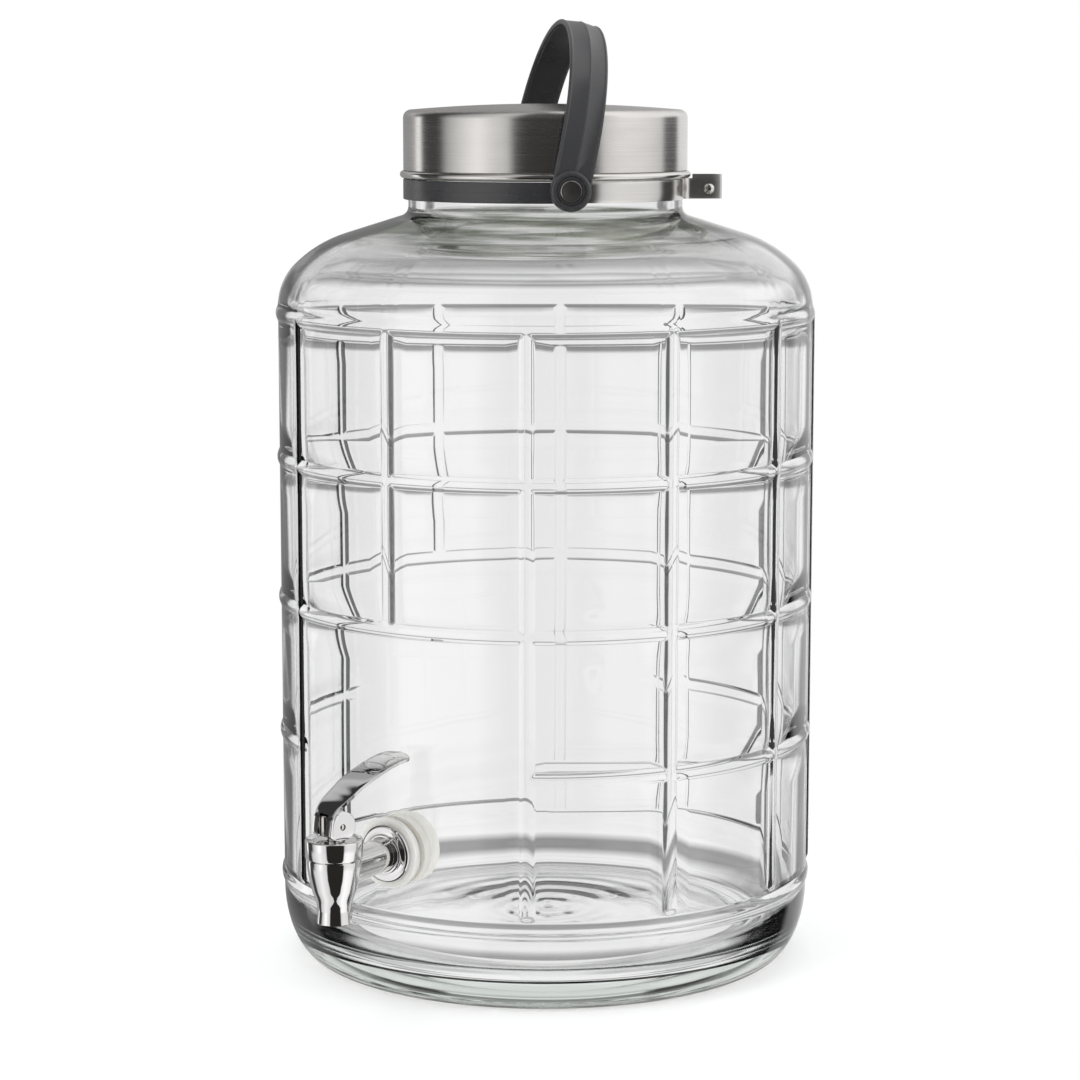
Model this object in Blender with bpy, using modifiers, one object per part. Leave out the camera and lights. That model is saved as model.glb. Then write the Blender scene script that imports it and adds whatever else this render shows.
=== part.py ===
"""Glass beverage dispenser.

A wide-mouth glass jar with an embossed window-pane grid, a brushed screw lid, a clamped
steel neck band with a plastic sleeve and a swinging strap handle, and a lever spigot
through the front of the wall.

Every length is in metres. The jar stands on z = 0 with +Z up and its front towards -Y.
An azimuth is an angle round the jar's axis in degrees, from the front towards +X.
"""
import math

import bmesh
import bpy
from mathutils import Matrix, Vector

# Fits shared by all pieces
GAP = 0.0003
RUNNING_CLEARANCE = 0.0003
CUT_OVERRUN = 0.002
WELD_DISTANCE = 0.00001

# Roundness of the turned pieces
JAR_FACETS = 36
LID_FACETS = 36
SPIGOT_FACETS = 24
SMALL_FACETS = 16
SMOOTH_ANGLE = 32

# Jar body
BODY_RADIUS = 0.132
WALL = 0.005
HEEL_WIDTH = 0.018
HEEL_HEIGHT = 0.036
FOOT_WIDTH = 0.009
PUNT_SLOPE_WIDTH = 0.008
PUNT_RIM_HEIGHT = 0.0035
PUNT_HEIGHT = 0.008
FLOOR_THICKNESS = 0.011
FLOOR_RIM_HEIGHT = 0.0145
FLOOR_CORNER_RADIUS = 0.022
HEEL_STEPS = 6
FLOOR_STEPS = 4

# Jar shoulder, two arcs and a cone that rises to the neck
SHOULDER_START = 0.325
CORNER_RADIUS = 0.0285
CROWN_RADIUS = 0.06
CROWN_START_ANGLE = 45
CONE_SLOPE = 17.5
CORNER_STEPS = 5
CROWN_STEPS = 3

# Jar neck and threaded finish
NECK_RADIUS = 0.0674
NECK_FILLET = 0.003
NECK_EXPOSED = 0.0071
FINISH_INSET = 0.0028
FINISH_HEIGHT = 0.0279
FINISH_STEP = 0.002
FINISH_WALL = 0.0041
LIP_ROUND = 0.0018
THREAD_PITCH = 0.006
THREAD_TURNS = 1.25
THREAD_BEAD = 0.0014
THREAD_STAND_OFF = 0.0002
THREAD_TOP_DROP = 0.006
THREAD_POINTS_PER_TURN = 36

# Embossed grid on the jar
BEAD_WIDTH = 0.0065
BEAD_RISE = 0.001
RIB_RISE = 0.0011
BEAD_ROOT = 0.0015
BEAD_CREST_SHARE = 0.2
BEAD_ROUND = 0.0008
RING_FIVE_LIFT = 0.0025
RING_SHARES = (0.0, 0.2525, 0.502, 0.7415, 1.0)
RIB_COUNT = 12
RIB_END_LIFT = 0.0044
SHORT_RIBS = (0, 8)
RING_FOUR_SPANS = ((1, 6), (9, 11))
RING_FOUR_OVERRUNS = ((0, 7), (6, 0))

# Neck band and its two clamp ears
BAND_THICKNESS = 0.0006
BAND_HEIGHT = 0.0099
EAR_AZIMUTH = 90
EAR_REACH = 0.0181
EAR_SPACING = 0.0042
EAR_HEIGHT = 0.012
EAR_BEND = 0.0042
EAR_HEM = 0.0028
EAR_HEM_ROUND = 0.0009
EAR_STEP_BACK = 0.0024
EAR_TOP_CLEARANCE = 0.0008
BAND_STEP = 10

# Clamp screw and nut
SCREW_INSET = 0.0061
SCREW_HEIGHT_SHARE = 0.4
SCREW_RADIUS = 0.0014
SCREW_HEAD_RADIUS = 0.0027
SCREW_HEAD_RISE = 0.0016
SCREW_TIP = 0.0008
NUT_RADIUS = 0.0029
NUT_THICKNESS = 0.0022
NUT_SIDES = 6

# Plastic sleeve on the left half of the band
SLEEVE_THICKNESS = 0.0012
SLEEVE_OVERLAP = 0.0001
SLEEVE_ROUND = 0.0005
SLEEVE_END_ANGLE = 4.4
SLEEVE_STEPS = 24

# Lid
LID_SHEET = 0.0007
LID_ROUND = 0.004
LID_CROWN = 0.003
LID_BEAD = 0.0019
LID_BEAD_STEPS = 8
LID_ROUND_STEPS = 4
LID_CROWN_STEPS = 4
LINER_DISC = 0.0024
LINER_WALL = 0.0018
LINER_FOOT_LIFT = 0.0032
LINER_THREAD_DROP = 0.0026
LINER_THREAD_STAND_OFF = 0.0002
LINER_RUNNING_GAP = 0.0007
GASKET_THICKNESS = 0.0016
GASKET_WIDTH = 0.0036

# Strap handle and its pivots
PIVOT_AZIMUTH = 8.4
PIVOT_RISE = 0.0012
BAIL_LEAN = 11.5
BAIL_CLEARANCE = 0.0007
BAIL_LEG_RISE = 0.02
STRAP_THICKNESS = 0.0033
STRAP_WIDTH = 0.0184
STRAP_RIDGE = 0.0006
STRAP_RIM = 0.0012
STRAP_STEPS = 28
BOSS_RADIUS = 0.0097
BOSS_RISE = 0.0012
BOSS_ROUND = 0.0016
BOSS_INNER_RADIUS = 0.0072
RECESS_RADIUS = 0.0056
RECESS_DEPTH = 0.0014
PIN_RADIUS = 0.0022
PIN_FOOT_RADIUS = 0.0035
PIN_FOOT_THICKNESS = 0.0014
PIN_TENON_RADIUS = 0.0015
WASHER_THICKNESS = 0.0018
BUTTON_RADIUS = 0.0052
BUTTON_THICKNESS = 0.0013
BUTTON_ROUND = 0.0004

# Spigot placement and its body
SPIGOT_AZIMUTH = -33.8
SPIGOT_HEIGHT = 0.0747
SPIGOT_REACH = 0.0427
SEAM_RISE = 0.0061
BODY_TOP_RADIUS = 0.0126
BODY_LENGTH = 0.03035
WAIST_LIFT = 0.0055
WAIST_RADIUS = 0.0079
NOZZLE_RADIUS = 0.0083
BODY_SHARES = ((0.88, 0.99), (0.69, 0.92), (0.5, 0.81), (0.41, 0.73), (0.32, 0.665))
BARREL_RADIUS = 0.0081
BARREL_COLLAR_RADIUS = 0.0094
BARREL_COLLAR_LENGTH = 0.0014
FLANGE_RADIUS = 0.0138
FLANGE_THICKNESS = 0.0022
FLANGE_ROUND = 0.0008
SHANK_RADIUS = 0.0075
SHANK_BORE = 0.0045
HOLE_CLEARANCE = 0.0005
BODY_NECK_RADIUS = 0.0103
BODY_NECK_HEIGHT = 0.0053
CAVITY_RADIUS = 0.0088
CAVITY_DEPTH = 0.0117
OUTLET_RADIUS = 0.0055

# Bonnet
BONNET_RADIUS = 0.0135
BONNET_TAPER = 0.0004
BONNET_HEIGHT = 0.009
BONNET_TOP = 0.0023
BONNET_ROUND = 0.0008

# White washers and nut
WASHER_RADIUS = 0.017
OUTER_WASHER_THICKNESS = 0.002
INNER_WASHER_THICKNESS = 0.0055
SHANK_NUT_THICKNESS = 0.0076
SHANK_NUT_ROUND = 0.001

# Valve inside the spigot
STEM_RADIUS = 0.003
STEM_TOP_RISE = 0.0033
STEM_FOOT_RADIUS = 0.0044
STEM_FOOT_THICKNESS = 0.0018
CUP_FLOOR = 0.001
CUP_LIP = 0.0013
CUP_PLUG_RADIUS = 0.0072
CUP_BELL_RADIUS = 0.0069
CUP_WALL = 0.0014
CUP_RIM_THICKNESS = 0.0009
CUP_BELL_SHARE = 0.72

# Lever with its cam cheeks
LEVER_HEADING = 38
CAM_HEIGHT = 0.0062
CAM_LIFT_PER_RADIAN = 0.0019
CAM_ANGLE = 50
CAM_STEPS = 5
CHEEK_RADIUS = 0.0072
CHEEK_STEPS = 10
CHEEK_TOP_ANGLE = 150
LEVER_WIDTH = 0.0152
LEVER_REACH = 0.0405
LEVER_RISE = 0.0289
BLADE_ROOT_THICKNESS = 0.003
BLADE_TIP_THICKNESS = 0.0016
TIP_LENGTH = 0.009
TIP_STEPS = 8
BLADE_CURVE_STEPS = 2
BLADE_SHARES = (
    (-0.165, -0.12), (-0.15, 0.13), (-0.075, 0.33), (0.05, 0.47), (0.126, 0.557),
    (0.28, 0.713), (0.57, 0.904), (0.82, 1.0), (1.0, 0.95),
)
LEVER_SLOT_RADIUS = 0.0049
LEVER_PIN_RADIUS = 0.0012
LEVER_PIN_INSET = 0.0001

# Heights and radii that follow from the sizes above
CORNER_CENTRE = (BODY_RADIUS - CORNER_RADIUS, SHOULDER_START)
CROWN_SHIFT = (CORNER_RADIUS - CROWN_RADIUS)
CROWN_CENTRE = (
    CORNER_CENTRE[0] + CROWN_SHIFT * math.cos(math.radians(CROWN_START_ANGLE)),
    CORNER_CENTRE[1] + CROWN_SHIFT * math.sin(math.radians(CROWN_START_ANGLE)),
)
CROWN_END_ANGLE = 90 - CONE_SLOPE
CONE_RATE = math.tan(math.radians(CONE_SLOPE))


def cone_height(radius, inset=0):
    """Height of the shoulder's cone at a radius, on the surface or a wall below it."""
    angle = math.radians(CROWN_END_ANGLE)
    start_radius = CROWN_CENTRE[0] + (CROWN_RADIUS - inset) * math.cos(angle)
    start_height = CROWN_CENTRE[1] + (CROWN_RADIUS - inset) * math.sin(angle)
    return start_height + (start_radius - radius) * CONE_RATE


NECK_BASE = cone_height(NECK_RADIUS)
BAND_BOTTOM = NECK_BASE + NECK_EXPOSED
BAND_TOP = BAND_BOTTOM + BAND_HEIGHT
SCREW_HEIGHT = BAND_BOTTOM + EAR_HEIGHT * SCREW_HEIGHT_SHARE
JAR_HEIGHT = BAND_TOP + FINISH_HEIGHT
RING_ONE_HEIGHT = SHOULDER_START - BEAD_WIDTH / 2
RING_FIVE_HEIGHT = HEEL_HEIGHT + BEAD_WIDTH / 2 + RING_FIVE_LIFT
RING_HEIGHTS = tuple(
    RING_ONE_HEIGHT + (RING_FIVE_HEIGHT - RING_ONE_HEIGHT) * share for share in RING_SHARES
)
RIB_PITCH = 360 / RIB_COUNT

FINISH_RADIUS = NECK_RADIUS - FINISH_INSET
MOUTH_RADIUS = FINISH_RADIUS - FINISH_WALL

BAND_INNER_RADIUS = NECK_RADIUS + GAP
BAND_OUTER_RADIUS = BAND_INNER_RADIUS + BAND_THICKNESS
SLEEVE_INNER_RADIUS = BAND_OUTER_RADIUS + GAP

GASKET_BOTTOM = JAR_HEIGHT + GAP
LINER_CEILING = GASKET_BOTTOM + GASKET_THICKNESS + GAP
LINER_TOP = LINER_CEILING + LINER_DISC
LID_TOP = LINER_TOP + GAP + LID_SHEET
LID_BOTTOM = BAND_TOP + GAP
THREAD_CREST = FINISH_RADIUS + THREAD_STAND_OFF + THREAD_BEAD
LINER_INNER_RADIUS = THREAD_CREST + LINER_RUNNING_GAP
LINER_OUTER_RADIUS = LINER_INNER_RADIUS + LINER_WALL
LID_RADIUS = LINER_OUTER_RADIUS + GAP + LID_SHEET

PIVOT_HEIGHT = (BAND_BOTTOM + BAND_TOP) / 2 + PIVOT_RISE
LID_CORNER_REACH = LID_ROUND + math.hypot(
    LID_RADIUS - LID_ROUND, LID_TOP - LID_ROUND - PIVOT_HEIGHT
)
BAIL_INNER_RADIUS = LID_CORNER_REACH + BAIL_CLEARANCE
BAIL_OUTER_RADIUS = BAIL_INNER_RADIUS + STRAP_THICKNESS
PIN_FOOT_START = BAND_OUTER_RADIUS + GAP
PIVOT_WASHER_START = PIN_FOOT_START + PIN_FOOT_THICKNESS + GAP
BOSS_INNER_START = PIVOT_WASHER_START + WASHER_THICKNESS + GAP
BOSS_FACE = BAIL_OUTER_RADIUS + BOSS_RISE
PIN_END = BOSS_FACE - RECESS_DEPTH

SPIGOT_DISTANCE = BODY_RADIUS + SPIGOT_REACH
FLANGE_START = BODY_RADIUS + GAP + OUTER_WASHER_THICKNESS + GAP
SHANK_NUT_START = BODY_RADIUS - WALL - GAP - INNER_WASHER_THICKNESS - GAP
SHANK_END = SHANK_NUT_START - SHANK_NUT_THICKNESS
SEALS_BOTTOM = SPIGOT_HEIGHT - WASHER_RADIUS - CUT_OVERRUN
SEALS_TOP = SPIGOT_HEIGHT + WASHER_RADIUS + CUT_OVERRUN
SEAM_HEIGHT = SPIGOT_HEIGHT + SEAM_RISE
NOZZLE_HEIGHT = SEAM_HEIGHT - BODY_LENGTH
BODY_NECK_TOP = SEAM_HEIGHT + BODY_NECK_HEIGHT
SEAT_HEIGHT = SEAM_HEIGHT - CAVITY_DEPTH
BONNET_BOTTOM = SEAM_HEIGHT + GAP
BONNET_TOP_HEIGHT = BONNET_BOTTOM + BONNET_HEIGHT
LEVER_PIVOT_HEIGHT = BONNET_TOP_HEIGHT + GAP + CAM_HEIGHT

# The origin is under the middle of the whole object, so the jar's axis lies behind it
FRONT_REACH = SPIGOT_DISTANCE * math.cos(math.radians(SPIGOT_AZIMUTH)) + BONNET_RADIUS
JAR_AXIS_SHIFT = (FRONT_REACH - BODY_RADIUS - BEAD_RISE) / 2


# Scene tools

def clear_scene():
    """Remove every object that the file holds."""
    for item in list(bpy.data.objects):
        bpy.data.objects.remove(item, do_unlink=True)


def new_collection(name):
    """A collection linked to the scene."""
    collection = bpy.data.collections.new(name)
    bpy.context.scene.collection.children.link(collection)
    return collection


def new_material(name, colour, roughness, metallic=0.0, transmission=0.0):
    """A plain Principled material."""
    material = bpy.data.materials.new(name)
    material.use_nodes = True
    shader = material.node_tree.nodes["Principled BSDF"]
    shader.inputs["Base Color"].default_value = (*colour, 1)
    shader.inputs["Roughness"].default_value = roughness
    shader.inputs["Metallic"].default_value = metallic
    shader.inputs["Transmission Weight"].default_value = transmission
    material.diffuse_color = (*colour, 1)
    return material


def new_empty(name, matrix, parent=None):
    """An empty that carries the pieces of one axis."""
    empty = bpy.data.objects.new(name, None)
    parts.objects.link(empty)
    empty.empty_display_size = BAND_HEIGHT
    empty.parent = parent
    empty.matrix_local = matrix
    return empty


def new_object(name, data, parent, matrix=None, material=None):
    """A piece with a material, or a cutter without one."""
    item = bpy.data.objects.new(name, data)
    item.parent = parent
    item.matrix_local = matrix or Matrix.Identity(4)
    if material:
        parts.objects.link(item)
        data.materials.append(material)
    else:
        cutters.objects.link(item)
        item.hide_render = True
        item.display_type = "WIRE"
    return item


def boolean(target, tool, operation):
    """A live Boolean of one object on another."""
    modifier = target.modifiers.new(tool.name, "BOOLEAN")
    modifier.operation = operation
    modifier.object = tool


def make_mesh(item):
    """Replace a curve or a modified object by its evaluated, welded mesh."""
    bpy.context.view_layer.update()
    graph = bpy.context.evaluated_depsgraph_get()
    mesh = bpy.data.meshes.new_from_object(item.evaluated_get(graph))
    shell = bmesh.new()
    shell.from_mesh(mesh)
    bmesh.ops.remove_doubles(shell, verts=shell.verts, dist=WELD_DISTANCE)
    open_edges = [edge for edge in shell.edges if edge.is_boundary]
    if open_edges:
        bmesh.ops.holes_fill(shell, edges=open_edges, sides=0)
    bmesh.ops.recalc_face_normals(shell, faces=shell.faces)
    shell.to_mesh(mesh)
    shell.free()
    mesh.materials.clear()
    return mesh


# Outline tools

def arc(centre, radius, start, end, steps):
    """Points on an arc of a flat outline, with its angles in degrees."""
    points = []
    for step in range(steps + 1):
        angle = math.radians(start + (end - start) * step / steps)
        points.append(
            (centre[0] + radius * math.cos(angle), centre[1] + radius * math.sin(angle))
        )
    return points


def rounded(line, radii, steps=3):
    """An open line with some of its corners turned into arcs, by corner index."""
    points = [line[0]]
    for index in range(1, len(line) - 1):
        corner = Vector(line[index])
        radius = radii.get(index)
        if radius is None:
            points.append(tuple(corner))
            continue
        back = (Vector(line[index - 1]) - corner).normalized()
        ahead = (Vector(line[index + 1]) - corner).normalized()
        half = back.angle(ahead) / 2
        tangent = radius / math.tan(half)
        centre = corner + (back + ahead).normalized() * radius / math.sin(half)
        first = corner + back * tangent - centre
        last = corner + ahead * tangent - centre
        sweep = -first.angle_signed(last)
        for step in range(steps + 1):
            turn = Matrix.Rotation(sweep * step / steps, 2)
            points.append(tuple(centre + turn @ first))
    points.append(line[-1])
    return points


def thickened(line, thickness):
    """The closed outline of a strip that follows a line."""
    sides = ([], [])
    for index, point in enumerate(line):
        before = Vector(line[max(index - 1, 0)])
        after = Vector(line[min(index + 1, len(line) - 1)])
        here = Vector(point)
        into = (here - before).normalized() if index else (after - here).normalized()
        out = (after - here).normalized() if index < len(line) - 1 else into
        bisector = (into + out).normalized()
        normal = Vector((-bisector.y, bisector.x))
        reach = thickness / 2 / max(bisector.dot(into), 0.5)
        sides[0].append(tuple(here + normal * reach))
        sides[1].append(tuple(here - normal * reach))
    return sides[0] + sides[1][::-1]


def smooth_line(points, steps):
    """A line through all the points with even Catmull-Rom steps between them."""
    line = []
    for index in range(len(points) - 1):
        window = [
            Vector(points[min(max(index + offset, 0), len(points) - 1)])
            for offset in (-1, 0, 1, 2)
        ]
        for step in range(steps):
            share = step / steps
            blend = (
                -share ** 3 + 2 * share ** 2 - share,
                3 * share ** 3 - 5 * share ** 2 + 2,
                -3 * share ** 3 + 4 * share ** 2 + share,
                share ** 3 - share ** 2,
            )
            total = Vector((0, 0))
            for weight, point in zip(blend, window):
                total += point * weight / 2
            line.append(tuple(total))
    line.append(points[-1])
    return line


# Solid tools

def outline_mesh(name, outline, closed):
    """A mesh of the edges of an outline, in the XZ plane."""
    mesh = bpy.data.meshes.new(name)
    points = [(radius, 0, height) for radius, height in outline]
    edges = [(index, index + 1) for index in range(len(points) - 1)]
    if closed:
        edges.append((len(points) - 1, 0))
    mesh.from_pydata(points, edges, [])
    return mesh


def turned(name, outline, parent, material=None, facets=SMALL_FACETS, matrix=None, closed=False):
    """A solid turned round its own Z axis; its outline runs down the outer side."""
    item = new_object(name, outline_mesh(name, outline, closed), parent, matrix, material)
    screw = item.modifiers.new("turn", "SCREW")
    screw.steps = facets
    screw.render_steps = facets
    screw.use_merge_vertices = True
    screw.merge_threshold = WELD_DISTANCE
    return item


def swept(name, outline, parent, sweep, steps, material=None, matrix=None):
    """A solid whose closed outline sweeps part of a turn round its own Z axis."""
    guide = new_object(name + "_guide", outline_mesh(name, outline, True), parent, matrix)
    screw = guide.modifiers.new("sweep", "SCREW")
    screw.angle = math.radians(sweep)
    screw.steps = steps
    screw.render_steps = steps
    item = new_object(name, make_mesh(guide), parent, matrix, material)
    bpy.data.objects.remove(guide, do_unlink=True)
    return item


def flat_solid(name, outline, half_thickness, parent, material=None, matrix=None):
    """A flat outline in the XY plane with thickness to both sides."""
    curve = bpy.data.curves.new(name, "CURVE")
    curve.dimensions = "2D"
    curve.fill_mode = "BOTH"
    curve.extrude = half_thickness
    spline = curve.splines.new("POLY")
    spline.points.add(len(outline) - 1)
    spline.use_cyclic_u = True
    for point, place in zip(spline.points, outline):
        point.co = (*place, 0, 1)
    guide = new_object(name + "_guide", curve, parent, matrix)
    item = new_object(name, make_mesh(guide), parent, matrix, material)
    bpy.data.objects.remove(guide, do_unlink=True)
    return item


def box(name, low, high, parent, material=None, matrix=None):
    """A box between two corners."""
    mesh = bpy.data.meshes.new(name)
    shell = bmesh.new()
    bmesh.ops.create_cube(shell, size=1)
    size = Vector(high) - Vector(low)
    middle = (Vector(high) + Vector(low)) / 2
    for vertex in shell.verts:
        vertex.co = Vector([vertex.co[axis] * size[axis] for axis in range(3)]) + middle
    shell.to_mesh(mesh)
    shell.free()
    return new_object(name, mesh, parent, matrix, material)


def lofted(name, rings, parent, material):
    """A solid through a row of rings that have the same number of points each."""
    shell = bmesh.new()
    rows = [[shell.verts.new(point) for point in ring] for ring in rings]
    count = len(rings[0])
    for row, after in zip(rows, rows[1:]):
        for index in range(count):
            ahead = (index + 1) % count
            shell.faces.new((row[index], row[ahead], after[ahead], after[index]))
    shell.faces.new(rows[0])
    shell.faces.new(rows[-1])
    bmesh.ops.recalc_face_normals(shell, faces=shell.faces)
    mesh = bpy.data.meshes.new(name)
    shell.to_mesh(mesh)
    shell.free()
    return new_object(name, mesh, parent, material=material)


def helix_bead(name, radius, bead, start_height, parent):
    """A round bead along a rising helix, as a cutter or an added piece."""
    curve = bpy.data.curves.new(name, "CURVE")
    curve.dimensions = "3D"
    curve.bevel_depth = bead
    curve.bevel_resolution = 1
    curve.use_fill_caps = True
    spline = curve.splines.new("POLY")
    count = round(THREAD_TURNS * THREAD_POINTS_PER_TURN)
    spline.points.add(count)
    for index, point in enumerate(spline.points):
        angle = math.radians(360 * THREAD_TURNS * index / count)
        height = start_height + THREAD_PITCH * THREAD_TURNS * index / count
        point.co = (radius * math.cos(angle), radius * math.sin(angle), height, 1)
    guide = new_object(name + "_guide", curve, parent)
    item = new_object(name, make_mesh(guide), parent)
    bpy.data.objects.remove(guide, do_unlink=True)
    return item


def tube_outline(inner_radius, outer_radius, low, high, outer_round=0):
    """The closed outline of a plain ring, with an optional round on its outer top edge."""
    outline = [(inner_radius, high)]
    if outer_round:
        centre = (outer_radius - outer_round, high - outer_round)
        outline += arc(centre, outer_round, 90, 0, 3)
    else:
        outline.append((outer_radius, high))
    return outline + [(outer_radius, low), (inner_radius, low)]


def rod_outline(radius, low, high, top_round=0):
    """The open outline of a plain rod, from its top centre to its bottom centre."""
    outline = [(0, high)]
    if top_round:
        outline += arc((radius - top_round, high - top_round), top_round, 90, 0, 3)
    else:
        outline.append((radius, high))
    return outline + [(radius, low), (0, low)]


def radial_frame(azimuth, height):
    """A frame on the jar's axis: Z points out along the azimuth and Y points up."""
    angle = math.radians(azimuth)
    out = Vector((math.sin(angle), -math.cos(angle), 0))
    side = Vector((math.cos(angle), math.sin(angle), 0))
    up = Vector((0, 0, 1))
    turn = Matrix((side, up, out)).transposed().to_4x4()
    return Matrix.Translation((0, 0, height)) @ turn


def place_at_azimuth(azimuth):
    """A turn round Z that brings a solid's +X side to an azimuth."""
    return Matrix.Rotation(math.radians(azimuth - 90), 4, "Z")


# Jar

def shoulder(inset=0):
    """The shoulder's two arcs, from the vertical wall up to the cone."""
    corner = arc(CORNER_CENTRE, CORNER_RADIUS - inset, 0, CROWN_START_ANGLE, CORNER_STEPS)
    crown = arc(
        CROWN_CENTRE, CROWN_RADIUS - inset, CROWN_START_ANGLE, CROWN_END_ANGLE, CROWN_STEPS
    )
    return corner + crown[1:]


def neck_fillet():
    """The concave arc between the neck and the shoulder's cone, from the top down."""
    end_angle = 270 - CONE_SLOPE
    end_radius = NECK_RADIUS + NECK_FILLET * (1 + math.cos(math.radians(end_angle)))
    end_height = cone_height(end_radius)
    centre_height = end_height - NECK_FILLET * math.sin(math.radians(end_angle))
    return arc((NECK_RADIUS + NECK_FILLET, centre_height), NECK_FILLET, 180, end_angle, 3)


def ring_bead(height):
    """An embossed ring's points on the jar's outline, from the top down."""
    crest = BEAD_WIDTH * BEAD_CREST_SHARE
    return [
        (BODY_RADIUS, height + BEAD_WIDTH / 2),
        (BODY_RADIUS + BEAD_RISE, height + crest),
        (BODY_RADIUS + BEAD_RISE, height - crest),
        (BODY_RADIUS, height - BEAD_WIDTH / 2),
    ]


def jar_outline():
    """From the middle of the inner floor, up inside, over the lip and down outside."""
    inner_radius = BODY_RADIUS - WALL
    floor_corner = (inner_radius - FLOOR_CORNER_RADIUS, FLOOR_RIM_HEIGHT + FLOOR_CORNER_RADIUS)
    outline = [(0, PUNT_HEIGHT + FLOOR_THICKNESS)]
    outline += arc(floor_corner, FLOOR_CORNER_RADIUS, -90, 0, FLOOR_STEPS)
    outline += shoulder(WALL)
    outline.append((MOUTH_RADIUS, cone_height(MOUTH_RADIUS, WALL)))
    lip_height = JAR_HEIGHT - LIP_ROUND
    outline += arc((MOUTH_RADIUS + LIP_ROUND, lip_height), LIP_ROUND, 180, 90, 2)
    outline += arc((FINISH_RADIUS - LIP_ROUND, lip_height), LIP_ROUND, 90, 0, 2)
    outline.append((FINISH_RADIUS, BAND_TOP + FINISH_STEP))
    outline.append((NECK_RADIUS, BAND_TOP))
    outline += neck_fillet()
    outline += shoulder()[::-1]
    for index in (0, 1, 2, 4):
        beads = ring_bead(RING_HEIGHTS[index])
        outline += beads[1:] if index == 0 else beads
    heel_centre = BODY_RADIUS - HEEL_WIDTH
    for step in range(HEEL_STEPS + 1):
        angle = math.pi / 2 * step / HEEL_STEPS
        outline.append(
            (heel_centre + HEEL_WIDTH * math.cos(angle), HEEL_HEIGHT * (1 - math.sin(angle)))
        )
    foot_inner = heel_centre - FOOT_WIDTH
    outline.append((foot_inner, 0))
    outline.append((foot_inner - PUNT_SLOPE_WIDTH, PUNT_RIM_HEIGHT))
    outline.append((0, PUNT_HEIGHT))
    return outline


def make_jar(material):
    """The glass jar with its embossed grid, thread and spigot hole."""
    facing = place_at_azimuth(SPIGOT_AZIMUTH)
    jar = turned("glass_jar", jar_outline(), jar_axis, material, JAR_FACETS, facing)
    boolean(jar, make_ribs(), "UNION")
    for span, overrun in zip(RING_FOUR_SPANS, RING_FOUR_OVERRUNS):
        boolean(jar, make_ring_four_arc(span, overrun), "UNION")
    thread_start = JAR_HEIGHT - THREAD_TOP_DROP - THREAD_PITCH * THREAD_TURNS
    thread = helix_bead(
        "jar_thread", FINISH_RADIUS + THREAD_STAND_OFF, THREAD_BEAD, thread_start, jar_axis
    )
    boolean(jar, thread, "UNION")
    hole = turned(
        "spigot_hole",
        rod_outline(
            SHANK_RADIUS + HOLE_CLEARANCE,
            BODY_RADIUS - WALL - CUT_OVERRUN,
            BODY_RADIUS + CUT_OVERRUN,
        ),
        spigot_mount,
        facets=SPIGOT_FACETS,
    )
    boolean(jar, hole, "DIFFERENCE")
    return jar


def make_ribs():
    """The upright embossed ribs as separate rounded bars, joined to the wall as one tool."""
    mesh = bpy.data.meshes.new("ribs")
    shell = bmesh.new()
    top = RING_HEIGHTS[0]
    for index in range(RIB_COUNT):
        low = RING_HEIGHTS[2] if index in SHORT_RIBS else RING_HEIGHTS[4] + RIB_END_LIFT
        size = Vector((BEAD_ROOT + RIB_RISE, BEAD_WIDTH, top - low))
        middle = Vector((BODY_RADIUS + (RIB_RISE - BEAD_ROOT) / 2, 0, (top + low) / 2))
        turn = place_at_azimuth(SPIGOT_AZIMUTH + RIB_PITCH * index)
        matrix = turn @ Matrix.LocRotScale(middle, None, size)
        bmesh.ops.create_cube(shell, size=1, matrix=matrix)
    shell.to_mesh(mesh)
    shell.free()
    ribs = new_object("ribs", mesh, jar_axis)
    bevel = ribs.modifiers.new("round", "BEVEL")
    bevel.width = BEAD_ROUND
    bevel.segments = 1
    return ribs


def make_ring_four_arc(span, overrun):
    """A stretch of the fourth ring, which both plain panels interrupt."""
    height = RING_HEIGHTS[3]
    outline = ring_bead(height)
    outline.append((BODY_RADIUS - BEAD_ROOT, height - BEAD_WIDTH / 2))
    outline.append((BODY_RADIUS - BEAD_ROOT, height + BEAD_WIDTH / 2))
    start = SPIGOT_AZIMUTH + RIB_PITCH * span[0] - overrun[0]
    end = SPIGOT_AZIMUTH + RIB_PITCH * span[1] + overrun[1]
    steps = round((end - start) * JAR_FACETS / 360)
    return swept(
        "ring_four", outline, jar_axis, end - start, steps, matrix=place_at_azimuth(start)
    )


# Neck band, sleeve and clamp

def ear_line():
    """The band's centre line in plan, from the front ear's hem round to the rear ear."""
    radius = BAND_INNER_RADIUS + BAND_THICKNESS / 2
    half = EAR_SPACING / 2
    tip = BAND_OUTER_RADIUS + EAR_REACH
    root = math.sqrt(radius ** 2 - half ** 2)
    line = [(tip, EAR_HEM - half), (tip, -half), (root, -half)]
    for angle in range(BAND_STEP, 360, BAND_STEP):
        turn = math.radians(-angle)
        line.append((radius * math.cos(turn), radius * math.sin(turn)))
    line += [(root, half), (tip - EAR_STEP_BACK, half)]
    return rounded(line, {1: EAR_HEM_ROUND, 2: EAR_BEND, len(line) - 2: EAR_BEND})


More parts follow.
